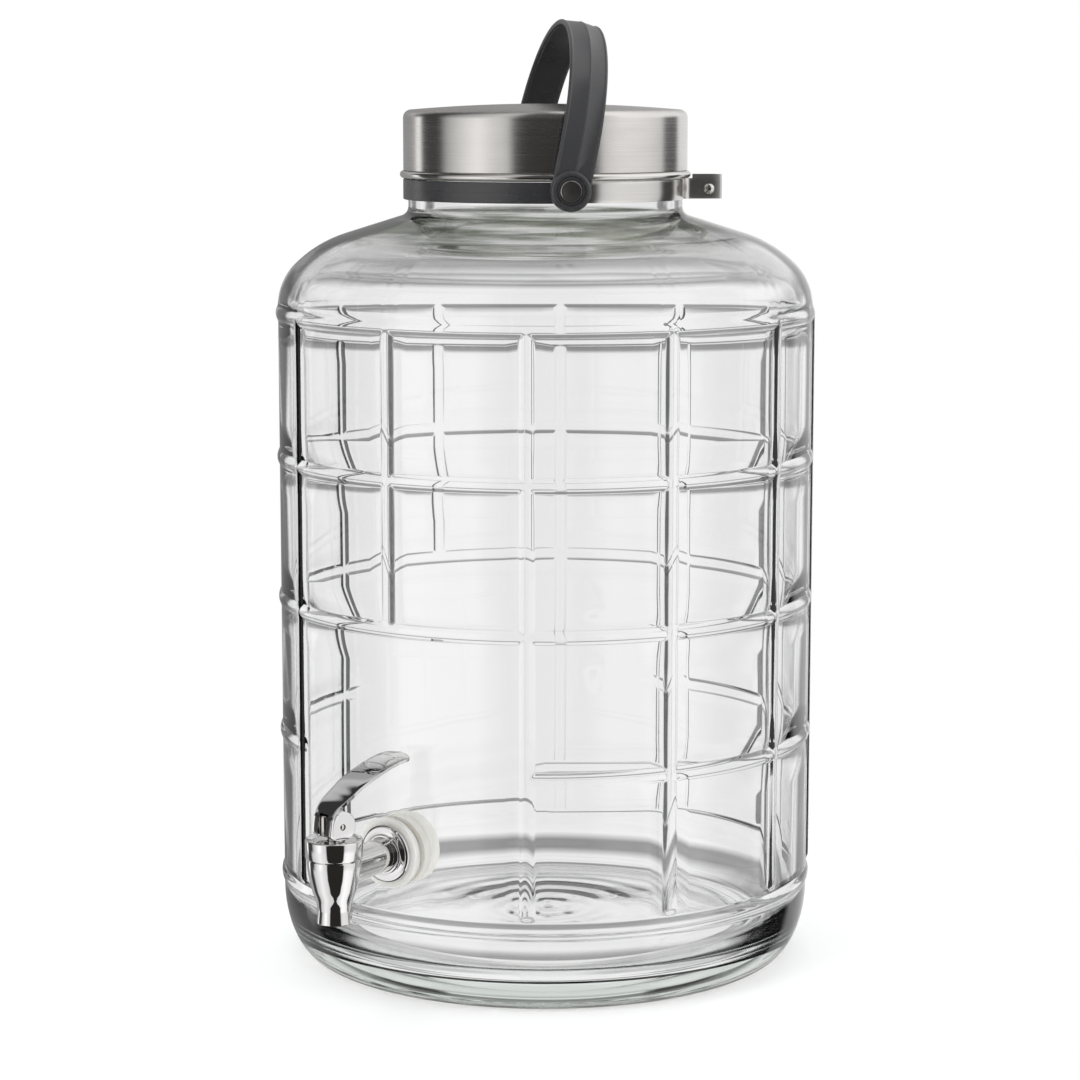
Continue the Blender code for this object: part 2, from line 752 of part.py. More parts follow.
def make_band(material):
    """The steel band, lower than its two ears all round the neck."""
    outline = thickened(ear_line(), BAND_THICKNESS)
    lift = Matrix.Translation((0, 0, BAND_BOTTOM + EAR_HEIGHT / 2))
    band = flat_solid("neck_band", outline, EAR_HEIGHT / 2, clamp_frame, material, lift)
    trim_radius = LID_RADIUS + LID_BEAD + EAR_TOP_CLEARANCE
    trim = turned(
        "band_trim",
        rod_outline(trim_radius, BAND_TOP, BAND_BOTTOM + EAR_HEIGHT + CUT_OVERRUN),
        clamp_frame,
        facets=JAR_FACETS,
    )
    boolean(band, trim, "DIFFERENCE")
    hole = turned(
        "screw_hole",
        rod_outline(SCREW_RADIUS + RUNNING_CLEARANCE, -EAR_SPACING, EAR_SPACING),
        screw_axis,
    )
    boolean(band, hole, "DIFFERENCE")
    for pivot in (pivot_front, pivot_back):
        rivet_hole = turned(
            "rivet_hole",
            rod_outline(
                PIN_TENON_RADIUS + RUNNING_CLEARANCE,
                BAND_INNER_RADIUS - CUT_OVERRUN,
                PIN_FOOT_START,
            ),
            pivot,
        )
        boolean(band, rivet_hole, "DIFFERENCE")
    return band


def make_clamp(material):
    """The domed screw through both ears, and its nut behind the rear ear."""
    face = EAR_SPACING / 2 + BAND_THICKNESS / 2 + GAP
    nut_face = face + NUT_THICKNESS
    head_radius = (SCREW_HEAD_RADIUS ** 2 + SCREW_HEAD_RISE ** 2) / (2 * SCREW_HEAD_RISE)
    edge_angle = math.degrees(math.asin(SCREW_HEAD_RADIUS / head_radius))
    dome = arc(
        (0, face + SCREW_HEAD_RISE - head_radius), head_radius, 90, 90 - edge_angle, 4
    )
    outline = dome + [(SCREW_RADIUS, face), (SCREW_RADIUS, -nut_face - SCREW_TIP)]
    outline.append((0, -nut_face - SCREW_TIP))
    turned("clamp_screw", outline, screw_axis, material)
    ring = tube_outline(SCREW_RADIUS + RUNNING_CLEARANCE, NUT_RADIUS, -nut_face, -face)
    turned("clamp_nut", ring, screw_axis, material, NUT_SIDES * 2, closed=True)


def make_sleeve(material):
    """The plastic sleeve over the left half of the band, between the two pivots."""
    low = BAND_BOTTOM - SLEEVE_OVERLAP
    high = BAND_TOP
    outer = SLEEVE_INNER_RADIUS + SLEEVE_THICKNESS
    outline = [(SLEEVE_INNER_RADIUS, high)]
    outline += arc((outer - SLEEVE_ROUND, high - SLEEVE_ROUND), SLEEVE_ROUND, 90, 0, 2)
    outline += arc((outer - SLEEVE_ROUND, low + SLEEVE_ROUND), SLEEVE_ROUND, 0, -90, 2)
    outline.append((SLEEVE_INNER_RADIUS, low))
    start = PIVOT_AZIMUTH - 180 + SLEEVE_END_ANGLE
    sweep = 180 - 2 * SLEEVE_END_ANGLE
    swept(
        "band_sleeve", outline, jar_axis, sweep, SLEEVE_STEPS, material, place_at_azimuth(start)
    )


# Lid

def lid_surface(inset=0):
    """The lid's top and side down to the bead, on the outside or a sheet inside it."""
    flat_radius = LID_RADIUS - LID_ROUND
    outline = []
    for step in range(LID_CROWN_STEPS):
        share = step / LID_CROWN_STEPS
        outline.append((flat_radius * share, LID_TOP - inset + LID_CROWN * (1 - share ** 2)))
    outline += arc((flat_radius, LID_TOP - LID_ROUND), LID_ROUND - inset, 90, 0, LID_ROUND_STEPS)
    return outline


def make_lid(steel, plastic, silicone):
    """The steel shell, its threaded liner and the gasket under the liner."""
    bead_centre = (LID_RADIUS, LID_BOTTOM + LID_BEAD)
    bead = arc(bead_centre, LID_BEAD, 90, -90, LID_BEAD_STEPS)
    inner_radius = LID_RADIUS - LID_SHEET
    shell = lid_surface() + bead + [(inner_radius, LID_BOTTOM)] + lid_surface(LID_SHEET)[::-1]
    turned("lid_shell", shell, jar_axis, steel, LID_FACETS)
    foot = LID_BOTTOM + LINER_FOOT_LIFT
    corner = LID_ROUND - LID_SHEET
    liner = [(0, LINER_TOP)]
    liner += arc((LINER_OUTER_RADIUS - corner, LINER_TOP - corner), corner, 90, 0, 3)
    liner += [(LINER_OUTER_RADIUS, foot), (LINER_INNER_RADIUS, foot)]
    liner += [(LINER_INNER_RADIUS, LINER_CEILING), (0, LINER_CEILING)]
    cap = turned("lid_liner", liner, jar_axis, plastic, LID_FACETS)
    thread_start = (
        JAR_HEIGHT - THREAD_TOP_DROP - THREAD_PITCH * THREAD_TURNS - LINER_THREAD_DROP
    )
    thread_radius = LINER_INNER_RADIUS - LINER_THREAD_STAND_OFF
    boolean(cap, helix_bead("liner_thread", thread_radius, THREAD_BEAD, thread_start, jar_axis),
            "UNION")
    gasket_outer = LINER_INNER_RADIUS - RUNNING_CLEARANCE
    gasket = tube_outline(
        gasket_outer - GASKET_WIDTH, gasket_outer, GASKET_BOTTOM, GASKET_BOTTOM + GASKET_THICKNESS
    )
    turned("lid_gasket", gasket, jar_axis, silicone, LID_FACETS, closed=True)


# Handle

def strap_section():
    """The strap's section, as depths out from its inner face and places across it."""
    half = STRAP_WIDTH / 2
    return [
        (0, half - STRAP_RIM),
        (STRAP_RIM, half),
        (STRAP_THICKNESS - STRAP_RIM, half),
        (STRAP_THICKNESS - STRAP_RIDGE, half - STRAP_RIM),
        (STRAP_THICKNESS, 0),
        (STRAP_THICKNESS - STRAP_RIDGE, STRAP_RIM - half),
        (STRAP_THICKNESS - STRAP_RIM, -half),
        (STRAP_RIM, -half),
        (0, STRAP_RIM - half),
    ]


def bail_stations():
    """Points and outward directions on the strap's inner face, from leg over to leg."""
    reach = BAIL_INNER_RADIUS
    rise = BAIL_INNER_RADIUS - BAIL_LEG_RISE
    stations = [(reach, 0, 1, 0)]
    for step in range(STRAP_STEPS + 1):
        angle = math.pi * step / STRAP_STEPS
        out = Vector((rise * math.cos(angle), reach * math.sin(angle))).normalized()
        along = reach * math.cos(angle)
        up = BAIL_LEG_RISE + rise * math.sin(angle)
        stations.append((along, up, out.x, out.y))
    stations.append((-reach, 0, -1, 0))
    return stations


def make_bail(material):
    """The strap handle with a round boss at each end, leaning on its pivot axis."""
    inner = BAIL_INNER_RADIUS
    rings = []
    for along, up, out_along, out_up in bail_stations():
        rings.append([
            (along + out_along * depth, across, up + out_up * depth)
            for depth, across in strap_section()
        ])
    bail = lofted("handle_bail", rings, bail_pivot, material)
    for side in (1, -1):
        outward = Matrix.Rotation(math.radians(90 * side), 4, "Y")
        boss_outline = rod_outline(BOSS_RADIUS, inner, BOSS_FACE, BOSS_ROUND)[:-2]
        boss_outline += [(BOSS_RADIUS, inner), (BOSS_INNER_RADIUS, inner)]
        boss_outline += [(BOSS_INNER_RADIUS, BOSS_INNER_START), (0, BOSS_INNER_START)]
        boss = turned("boss", boss_outline, bail_pivot, facets=SPIGOT_FACETS, matrix=outward)
        boolean(bail, boss, "UNION")
        bore = [(0, BOSS_FACE + CUT_OVERRUN), (RECESS_RADIUS, BOSS_FACE + CUT_OVERRUN)]
        bore += [(RECESS_RADIUS, BOSS_FACE - RECESS_DEPTH)]
        bore += [(PIN_RADIUS + RUNNING_CLEARANCE, BOSS_FACE - RECESS_DEPTH)]
        bore += [(PIN_RADIUS + RUNNING_CLEARANCE, BOSS_INNER_START - CUT_OVERRUN)]
        bore += [(0, BOSS_INNER_START - CUT_OVERRUN)]
        cutter = turned("bore", bore, bail_pivot, facets=SMALL_FACETS, matrix=outward)
        boolean(bail, cutter, "DIFFERENCE")
    return bail


def make_pivots(steel, plastic):
    """The shoulder pin, washer and button of each pivot."""
    for name, pivot in (("front", pivot_front), ("back", pivot_back)):
        foot_end = PIN_FOOT_START + PIN_FOOT_THICKNESS
        pin = [(0, PIN_END), (PIN_RADIUS, PIN_END), (PIN_RADIUS, foot_end)]
        pin += [(PIN_FOOT_RADIUS, foot_end), (PIN_FOOT_RADIUS, PIN_FOOT_START)]
        pin += [(PIN_TENON_RADIUS, PIN_FOOT_START), (PIN_TENON_RADIUS, BAND_INNER_RADIUS)]
        pin += [(0, BAND_INNER_RADIUS)]
        turned("handle_pin_" + name, pin, pivot, steel)
        washer = tube_outline(
            PIN_RADIUS + RUNNING_CLEARANCE,
            PIN_FOOT_RADIUS,
            PIVOT_WASHER_START,
            PIVOT_WASHER_START + WASHER_THICKNESS,
        )
        turned("pivot_washer_" + name, washer, pivot, plastic, closed=True)
        button_start = PIN_END + GAP
        button = rod_outline(
            BUTTON_RADIUS, button_start, button_start + BUTTON_THICKNESS, BUTTON_ROUND
        )
        turned("handle_button_" + name, button, pivot, steel, SPIGOT_FACETS)


# Spigot

def spigot_body_outline():
    """The outside of the spigot's upright body, from its neck down to the nozzle."""
    outline = [(0, BODY_NECK_TOP), (BODY_NECK_RADIUS, BODY_NECK_TOP)]
    outline += [(BODY_NECK_RADIUS, SEAM_HEIGHT), (BODY_TOP_RADIUS, SEAM_HEIGHT)]
    for height_share, radius_share in BODY_SHARES:
        outline.append(
            (BODY_TOP_RADIUS * radius_share, NOZZLE_HEIGHT + BODY_LENGTH * height_share)
        )
    outline.append((WAIST_RADIUS, NOZZLE_HEIGHT + WAIST_LIFT))
    outline.append((NOZZLE_RADIUS, NOZZLE_HEIGHT))
    outline.append((0, NOZZLE_HEIGHT))
    return outline


def barrel_outline():
    """The barrel, flange and shank along the spigot's level axis, from the outside in."""
    flange_end = FLANGE_START + FLANGE_THICKNESS
    collar_end = flange_end + BARREL_COLLAR_LENGTH
    outline = [(0, SPIGOT_DISTANCE), (BARREL_RADIUS, SPIGOT_DISTANCE)]
    outline += [(BARREL_RADIUS, collar_end), (BARREL_COLLAR_RADIUS, collar_end)]
    outline += [(BARREL_COLLAR_RADIUS, flange_end)]
    centre = (FLANGE_RADIUS - FLANGE_ROUND, flange_end - FLANGE_ROUND)
    outline += arc(centre, FLANGE_ROUND, 90, 0, 2)
    outline += [(FLANGE_RADIUS, FLANGE_START), (SHANK_RADIUS, FLANGE_START)]
    outline += [(SHANK_RADIUS, SHANK_END), (0, SHANK_END)]
    return outline


def make_spigot_body(material):
    """The body with its barrel joined on, its valve chamber, outlet and inlet cut through."""
    body = turned(
        "faucet_body", spigot_body_outline(), spigot_axis, material, SPIGOT_FACETS
    )
    barrel = turned("barrel", barrel_outline(), spigot_mount, facets=SPIGOT_FACETS)
    bonnet_room = rod_outline(BONNET_RADIUS + GAP, SEAM_HEIGHT, BONNET_TOP_HEIGHT)
    boolean(
        barrel,
        turned("bonnet_room", bonnet_room, spigot_axis, facets=SPIGOT_FACETS),
        "DIFFERENCE",
    )
    boolean(body, barrel, "UNION")
    chamber = [(0, BODY_NECK_TOP + CUT_OVERRUN), (CAVITY_RADIUS, BODY_NECK_TOP + CUT_OVERRUN)]
    chamber += [(CAVITY_RADIUS, SEAT_HEIGHT), (OUTLET_RADIUS, SEAT_HEIGHT)]
    chamber += [(OUTLET_RADIUS, NOZZLE_HEIGHT - CUT_OVERRUN), (0, NOZZLE_HEIGHT - CUT_OVERRUN)]
    boolean(body, turned("chamber", chamber, spigot_axis, facets=SPIGOT_FACETS), "DIFFERENCE")
    inlet = rod_outline(SHANK_BORE, SHANK_END - CUT_OVERRUN, SPIGOT_DISTANCE)
    boolean(body, turned("inlet", inlet, spigot_mount), "DIFFERENCE")


def make_bonnet(material):
    """The collar that screws on the body and guides the stem."""
    inner = BODY_NECK_RADIUS + RUNNING_CLEARANCE
    ceiling = BONNET_TOP_HEIGHT - BONNET_TOP
    outline = [(STEM_RADIUS + RUNNING_CLEARANCE, BONNET_TOP_HEIGHT)]
    centre = (BONNET_RADIUS - BONNET_ROUND, BONNET_TOP_HEIGHT - BONNET_ROUND)
    outline += arc(centre, BONNET_ROUND, 90, 0, 2)
    outline += [(BONNET_RADIUS - BONNET_TAPER, BONNET_BOTTOM), (inner, BONNET_BOTTOM)]
    outline += [(inner, ceiling), (STEM_RADIUS + RUNNING_CLEARANCE, ceiling)]
    turned("faucet_bonnet", outline, spigot_axis, material, SPIGOT_FACETS, closed=True)


def make_wall_seals(silicone, plastic):
    """The washers on both sides of the glass, hollowed to its curve, and the shank nut."""
    bore = SHANK_RADIUS + RUNNING_CLEARANCE
    facing = place_at_azimuth(SPIGOT_AZIMUTH)
    outer = turned(
        "outer_washer",
        tube_outline(bore, WASHER_RADIUS, BODY_RADIUS - WALL, FLANGE_START - GAP),
        spigot_mount,
        silicone,
        SPIGOT_FACETS,
        closed=True,
    )
    glass = turned(
        "glass_outside",
        rod_outline(BODY_RADIUS + GAP, SEALS_BOTTOM, SEALS_TOP),
        jar_axis,
        facets=JAR_FACETS,
        matrix=facing,
    )
    boolean(outer, glass, "DIFFERENCE")
    inner = turned(
        "inner_washer",
        tube_outline(bore, WASHER_RADIUS, SHANK_NUT_START + GAP, BODY_RADIUS),
        spigot_mount,
        silicone,
        SPIGOT_FACETS,
        closed=True,
    )
    room = turned(
        "glass_inside",
        rod_outline(BODY_RADIUS - WALL - GAP, SEALS_BOTTOM, SEALS_TOP),
        jar_axis,
        facets=JAR_FACETS,
        matrix=facing,
    )
    boolean(inner, room, "INTERSECT")
    nut = [(bore, SHANK_NUT_START), (WASHER_RADIUS, SHANK_NUT_START)]
    nut += [(WASHER_RADIUS, SHANK_END + SHANK_NUT_ROUND)]
    nut += [(WASHER_RADIUS - SHANK_NUT_ROUND, SHANK_END), (bore, SHANK_END)]
    turned("shank_nut", nut, spigot_mount, plastic, SPIGOT_FACETS, closed=True)


def make_valve(steel, silicone):
    """The stem that the lever lifts, and the silicone cup that closes the seat."""
    cup_bottom = SEAT_HEIGHT + GAP
    pocket_floor = cup_bottom + CUP_FLOOR
    foot_low = pocket_floor + GAP
    foot_high = foot_low + STEM_FOOT_THICKNESS
    pocket_top = foot_high + GAP
    lip_top = pocket_top + CUP_LIP
    stem_top = LEVER_PIVOT_HEIGHT + STEM_TOP_RISE
    stem = rod_outline(STEM_RADIUS, foot_high, stem_top, STEM_RADIUS / 3)[:-1]
    stem += [(STEM_FOOT_RADIUS, foot_high), (STEM_FOOT_RADIUS, foot_low), (0, foot_low)]
    rod = turned("valve_stem", stem, spigot_axis, steel)
    half = STEM_RADIUS + CUT_OVERRUN
    pin_hole = turned(
        "stem_pin_hole",
        rod_outline(LEVER_PIN_RADIUS + RUNNING_CLEARANCE, -half, half),
        pin_axis,
    )
    boolean(rod, pin_hole, "DIFFERENCE")
    rim_low = BODY_NECK_TOP + GAP
    rim_high = rim_low + CUP_RIM_THICKNESS
    bell_top = cup_bottom + (rim_low - cup_bottom) * CUP_BELL_SHARE
    rim_radius = BODY_NECK_RADIUS - GAP
    inner_bell = CUP_BELL_RADIUS - CUP_WALL
    cup = [(inner_bell + CUP_WALL, rim_high), (rim_radius, rim_high), (rim_radius, rim_low)]
    cup += [(inner_bell + 2 * CUP_WALL, rim_low), (CUP_BELL_RADIUS, bell_top)]
    cup += [(CUP_BELL_RADIUS, lip_top), (CUP_PLUG_RADIUS, pocket_top)]
    cup += [(CUP_PLUG_RADIUS, cup_bottom), (0, cup_bottom)]
    pocket_radius = STEM_FOOT_RADIUS + RUNNING_CLEARANCE
    stem_pass = STEM_RADIUS + RUNNING_CLEARANCE
    inside = [(0, pocket_floor), (pocket_radius, pocket_floor), (pocket_radius, pocket_top)]
    inside += [(stem_pass, pocket_top), (stem_pass, lip_top), (inner_bell, lip_top)]
    inside += [(inner_bell, bell_top)]
    turned("seat_cup", inside + cup, spigot_axis, silicone)


def cheek_outline():
    """The side view of a cheek: a cam below that lifts evenly as the lever tips, round above.

    On the flat bonnet a cam whose height grows at one rate is an involute, which gives the
    same lift for each degree.
    """
    outline = []
    for step in range(CAM_STEPS + 1):
        turn = math.radians(CAM_ANGLE * (1 - step / CAM_STEPS))
        reach = CAM_HEIGHT + CAM_LIFT_PER_RADIAN * turn
        angle = -math.pi / 2 - turn
        outline.append((
            reach * math.cos(angle) + CAM_LIFT_PER_RADIAN * math.sin(angle),
            reach * math.sin(angle) - CAM_LIFT_PER_RADIAN * math.cos(angle),
        ))
    low_angle = -math.degrees(math.asin(CAM_HEIGHT / CHEEK_RADIUS))
    outline += arc((0, 0), CHEEK_RADIUS, low_angle, CHEEK_TOP_ANGLE, CHEEK_STEPS)
    return outline


def blade_outline():
    """The side view of the blade, from the heel over the bend to the tip and back."""
    upper = [(LEVER_REACH * along, LEVER_RISE * up) for along, up in BLADE_SHARES]
    upper = smooth_line(upper, BLADE_CURVE_STEPS)
    lower = []
    for index, point in enumerate(upper):
        before = Vector(upper[max(index - 1, 0)])
        after = Vector(upper[min(index + 1, len(upper) - 1)])
        ahead = (after - before).normalized()
        share = index / (len(upper) - 1)
        thickness = BLADE_ROOT_THICKNESS + (BLADE_TIP_THICKNESS - BLADE_ROOT_THICKNESS) * share
        lower.append((point[0] + ahead.y * thickness, point[1] - ahead.x * thickness))
    return upper + lower[::-1]


def make_lever(material):
    """The lever: a curved blade and two cam cheeks that straddle the stem."""
    upright = Matrix.Rotation(math.radians(90), 4, "X")
    half = LEVER_WIDTH / 2
    lever = flat_solid("faucet_lever", blade_outline(), half, lever_pivot, material, upright)
    cheeks = flat_solid("cheeks", cheek_outline(), half, lever_pivot, matrix=upright)
    boolean(lever, cheeks, "UNION")
    heel = -2 * CHEEK_RADIUS
    tip_start = LEVER_REACH - TIP_LENGTH
    plan = [(heel, half + CUT_OVERRUN), (heel, -half - CUT_OVERRUN)]
    plan += [(tip_start, -half - CUT_OVERRUN)]
    for step in range(TIP_STEPS + 1):
        angle = math.pi * (step / TIP_STEPS - 1 / 2)
        plan.append((tip_start + TIP_LENGTH * math.cos(angle), half * math.sin(angle)))
    plan += [(tip_start, half + CUT_OVERRUN)]
    height = LEVER_RISE * 2
    plan_tool = flat_solid("plan", plan, height, lever_pivot)
    boolean(lever, plan_tool, "INTERSECT")
    slot_half = STEM_RADIUS + RUNNING_CLEARANCE
    slot = rod_outline(LEVER_SLOT_RADIUS, -slot_half, slot_half)
    boolean(lever, turned("slot", slot, pin_axis), "DIFFERENCE")
    opening = box(
        "slot_mouth",
        (heel, -slot_half, heel),
        (LEVER_SLOT_RADIUS, slot_half, 0),
        lever_pivot,
    )
    boolean(lever, opening, "DIFFERENCE")
    pin_hole = rod_outline(
        LEVER_PIN_RADIUS + RUNNING_CLEARANCE, -half - CUT_OVERRUN, half + CUT_OVERRUN
    )
    boolean(lever, turned("lever_pin_hole", pin_hole, pin_axis), "DIFFERENCE")
    return lever


def make_lever_pin(material):
    """The pin through both cheeks and the stem."""
    half = LEVER_WIDTH / 2 - LEVER_PIN_INSET
    turned("lever_pin", rod_outline(LEVER_PIN_RADIUS, -half, half), pin_axis, material)


# Assembly

clear_scene()
parts = new_collection("glass_beverage_dispenser")
cutters = new_collection("cutters")

jar_axis = new_empty("jar_axis", Matrix.Translation((0, JAR_AXIS_SHIFT, 0)))
clamp_frame = new_empty("clamp_frame", place_at_azimuth(EAR_AZIMUTH), jar_axis)
screw_axis = new_empty(
    "screw_axis",
    Matrix.Translation(
        (BAND_OUTER_RADIUS + EAR_REACH - SCREW_INSET, 0, SCREW_HEIGHT)
    ) @ Matrix.Rotation(math.radians(90), 4, "X"),
    clamp_frame,
)
pivot_front = new_empty("pivot_front", radial_frame(PIVOT_AZIMUTH, PIVOT_HEIGHT), jar_axis)
pivot_back = new_empty("pivot_back", radial_frame(PIVOT_AZIMUTH + 180, PIVOT_HEIGHT), jar_axis)
bail_pivot = new_empty(
    "bail_pivot",
    Matrix.Translation((0, 0, PIVOT_HEIGHT))
    @ place_at_azimuth(PIVOT_AZIMUTH)
    @ Matrix.Rotation(math.radians(-BAIL_LEAN), 4, "X"),
    jar_axis,
)
spigot_mount = new_empty("spigot_mount", radial_frame(SPIGOT_AZIMUTH, SPIGOT_HEIGHT), jar_axis)
spigot_turn = math.radians(SPIGOT_AZIMUTH)
spigot_axis = new_empty(
    "spigot_axis",
    Matrix.Translation(
        (SPIGOT_DISTANCE * math.sin(spigot_turn), -SPIGOT_DISTANCE * math.cos(spigot_turn), 0)
    ),
    jar_axis,
)
lever_pivot = new_empty(
    "lever_pivot",
    Matrix.Translation((0, 0, LEVER_PIVOT_HEIGHT))
    @ Matrix.Rotation(math.radians(LEVER_HEADING), 4, "Z"),
    spigot_axis,
)
pin_axis = new_empty("pin_axis", Matrix.Rotation(math.radians(90), 4, "X"), lever_pivot)

clear_glass = new_material("clear_glass", (0.93, 0.96, 0.95), 0.02, transmission=1.0)
brushed_steel = new_material("brushed_steel", (0.62, 0.60, 0.58), 0.3, 1.0)
polished_steel = new_material("polished_steel", (0.72, 0.70, 0.68), 0.15, 1.0)
chrome = new_material("chrome", (0.80, 0.80, 0.82), 0.05, 1.0)
dark_plastic = new_material("dark_plastic", (0.085, 0.085, 0.088), 0.45)
white_silicone = new_material("white_silicone", (0.87, 0.86, 0.82), 0.4)
white_plastic = new_material("white_plastic", (0.88, 0.87, 0.84), 0.35)

glass_jar = make_jar(clear_glass)
neck_band = make_band(polished_steel)
make_clamp(polished_steel)
make_sleeve(dark_plastic)
make_lid(brushed_steel, white_plastic, white_silicone)
handle_bail = make_bail(dark_plastic)
make_pivots(polished_steel, white_plastic)
make_spigot_body(chrome)
make_bonnet(chrome)
make_wall_seals(white_silicone, white_plastic)
make_valve(polished_steel, white_silicone)
faucet_lever = make_lever(chrome)
make_lever_pin(polished_steel)

for piece in parts.objects:
    if piece.type == "MESH":
        piece.data.shade_smooth()
        piece.data.set_sharp_from_angle(angle=math.radians(SMOOTH_ANGLE))
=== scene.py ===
"""Looks for the glass beverage dispenser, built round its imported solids.

Every length is in metres. The jar stands on z = 0 with its front towards -Y, and an azimuth
is an angle round the jar's axis in degrees, from the front towards +X.
"""
import math

import bpy
from mathutils import Matrix, Vector


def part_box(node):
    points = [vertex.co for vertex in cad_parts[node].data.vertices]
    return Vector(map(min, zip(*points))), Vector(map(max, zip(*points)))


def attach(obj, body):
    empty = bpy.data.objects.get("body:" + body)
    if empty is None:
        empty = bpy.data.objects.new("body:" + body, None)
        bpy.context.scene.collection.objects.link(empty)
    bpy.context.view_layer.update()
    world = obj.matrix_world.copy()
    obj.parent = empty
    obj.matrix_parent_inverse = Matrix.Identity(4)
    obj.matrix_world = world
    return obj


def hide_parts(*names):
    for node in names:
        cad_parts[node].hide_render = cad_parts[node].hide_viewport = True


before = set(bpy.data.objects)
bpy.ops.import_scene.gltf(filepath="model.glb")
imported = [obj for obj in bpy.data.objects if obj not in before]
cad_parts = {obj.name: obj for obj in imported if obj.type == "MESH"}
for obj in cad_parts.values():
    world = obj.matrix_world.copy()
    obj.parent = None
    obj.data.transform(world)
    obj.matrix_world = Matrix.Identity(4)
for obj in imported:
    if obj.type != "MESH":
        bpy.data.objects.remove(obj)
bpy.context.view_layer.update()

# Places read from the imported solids
X, Y, Z = range(3)


def limits(node, axis):
    """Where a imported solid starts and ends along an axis."""
    low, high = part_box(node)
    return low[axis], high[axis]


def middle(node, axis):
    """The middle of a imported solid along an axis."""
    low, high = limits(node, axis)
    return (low + high) / 2


def half_width(node):
    """The radius of a packed round solid."""
    low, high = limits(node, X)
    return (high - low) / 2


JAR_Y = middle("lid_shell", Y)
JAR_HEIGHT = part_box("glass_jar")[1].z
BAND_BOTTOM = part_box("neck_band")[0].z
SLEEVE_BOTTOM, BAND_TOP = limits("band_sleeve", Z)
ON_AXIS = (0, JAR_Y, 0)
SCREW_X = middle("clamp_screw", X)
SCREW_HEIGHT = middle("clamp_screw", Z)
PIVOT_HEIGHT = middle("handle_button_front", Z)
SPIGOT_X = middle("faucet_bonnet", X)
SPIGOT_Y = middle("faucet_bonnet", Y)
SPIGOT_HEIGHT = middle("outer_washer", Z)
NOZZLE_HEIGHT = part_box("faucet_body")[0].z
BONNET_BOTTOM, BONNET_TOP = limits("faucet_bonnet", Z)
LEVER_PIVOT_HEIGHT = middle("lever_pin", Z)

# Fits
GAP = 0.0003
WELD = 0.000002
EDGE_SOFTNESS = 0.00018

# Facets round an axis
LID_FACETS = 180
LINER_FACETS = 120
TAP_FACETS = 96
BUTTON_FACETS = 72
CUP_FACETS = 64
SCREW_FACETS = 48
PIN_FACETS = 32
WALL_CUT_FACETS = 360

# Jar
SPIGOT_AZIMUTH = -33.8
BODY_RADIUS = 0.1317
WALL = 0.005
HEEL_WIDTH = 0.018
HEEL_HEIGHT = 0.036
HEEL_STEPS = 18
SHOULDER_START = 0.325
CORNER_RADIUS = 0.0285
CROWN_RADIUS = 0.06
CROWN_START_ANGLE = 45
CONE_SLOPE = 17.5
NECK_RADIUS = 0.0674
NECK_FILLET = 0.0048
# Painted shade: the glass's colour turns dark olive in a band round the neck's foot. It stands in for
# the dark ring that refraction shows there.
NECK_PAINTED_SHADE_DEPTH = 0.0138
NECK_PAINTED_SHADE_FADE = 0.009
NECK_PAINTED_SHADE = (0.13, 0.145, 0.105)
FINISH_RADIUS = 0.0646
MOUTH_RADIUS = 0.0605
MOUTH_FILLET = 0.006
LEDGE_ROUND = 0.0008
LIP_ROUND = 0.0018
THREAD_PITCH = 0.006
THREAD_TURNS = 1.25
THREAD_FADE = 0.08
THREAD_RISE = 0.0015
THREAD_HALF_WIDTH = 0.0017
THREAD_TOP_DROP = 0.006
THREAD_STEPS = 24
RING_HEIGHTS = (0.32175, 0.25105, 0.18119, 0.11413, 0.04175)
BEAD_HALF_WIDTH = 0.0039
BEAD_RISE = 0.00118
BEAD_BULGE = 1.15
CROSSING_BLEND = 6
RIB_COUNT = 12
RIB_PITCH = 360 / RIB_COUNT
RIB_ZONE = 3.6
RIB_COLUMNS = 14
PANEL_COLUMNS = 9
SHORT_RIBS = (0, 8)
RIB_END_LIFT = 0.0044
FADE = 0.003
RING_FOUR_SPANS = ((-3.8, 153.2), (230.2, 296.2))
SPAN_FADE = 2.5
FLOOR_CENTRE = 0.019
FLOOR_CORNER = 0.022
FLOOR_RIM = 0.0145
FLOOR_STEPS = 44
RIPPLE = 0.00022
RIPPLE_LENGTH = 0.0165
RIPPLE_REACH = 0.07
FOOT_INNER = 0.1045
FOOT_ROUND = 0.003
FOOT_STIPPLE = 0.0045
PUNT_RIM = 0.0035
PUNT_CENTRE = 0.008
PUNT_ROUND = 0.006
SPIGOT_HOLE_RADIUS = 0.008

# Lid
LID_RADIUS = 0.0697
LID_TOP = 0.4205
LID_CROWN = 0.0028
LID_ROUND = 0.004
LID_SHEET = 0.0007
LID_BEAD = 0.0018
LINER_WALL = 0.0018
LINER_ROUND = 0.0033
LINER_TOP = 0.0024
GASKET_WIDTH = 0.0036
GASKET_ROUND = 0.0004

# Band, sleeve and clamp
BAND_SHEET = 0.0006
BAND_INNER = NECK_RADIUS + GAP
EAR_HEIGHT = 0.012
EAR_SPACING = 0.0042
EAR_BEND = 0.0042
EAR_HEM = 0.0028
EAR_HEM_ROUND = 0.0009
EAR_STEP_BACK = 0.0024
EAR_CURL = 0.0012
EAR_CURL_STEPS = 6
EAR_TIP = 0.0864
SLEEVE_INNER = 0.0686
SLEEVE_SHEET = 0.0012
SLEEVE_ROUND = 0.0005
SLEEVE_GROOVE = 0.00012
SLEEVE_START = -167.2
SLEEVE_SWEEP = 171.2
SLEEVE_STEPS = 110
SCREW_BORE = 0.0017
SCREW_SHANK = 0.0014
SCREW_TAIL = 0.003
SCREW_DOME_RADIUS = 0.0027
SCREW_DOME_RISE = 0.0016
NUT_RADIUS = 0.0029
NUT_THICKNESS = 0.0022

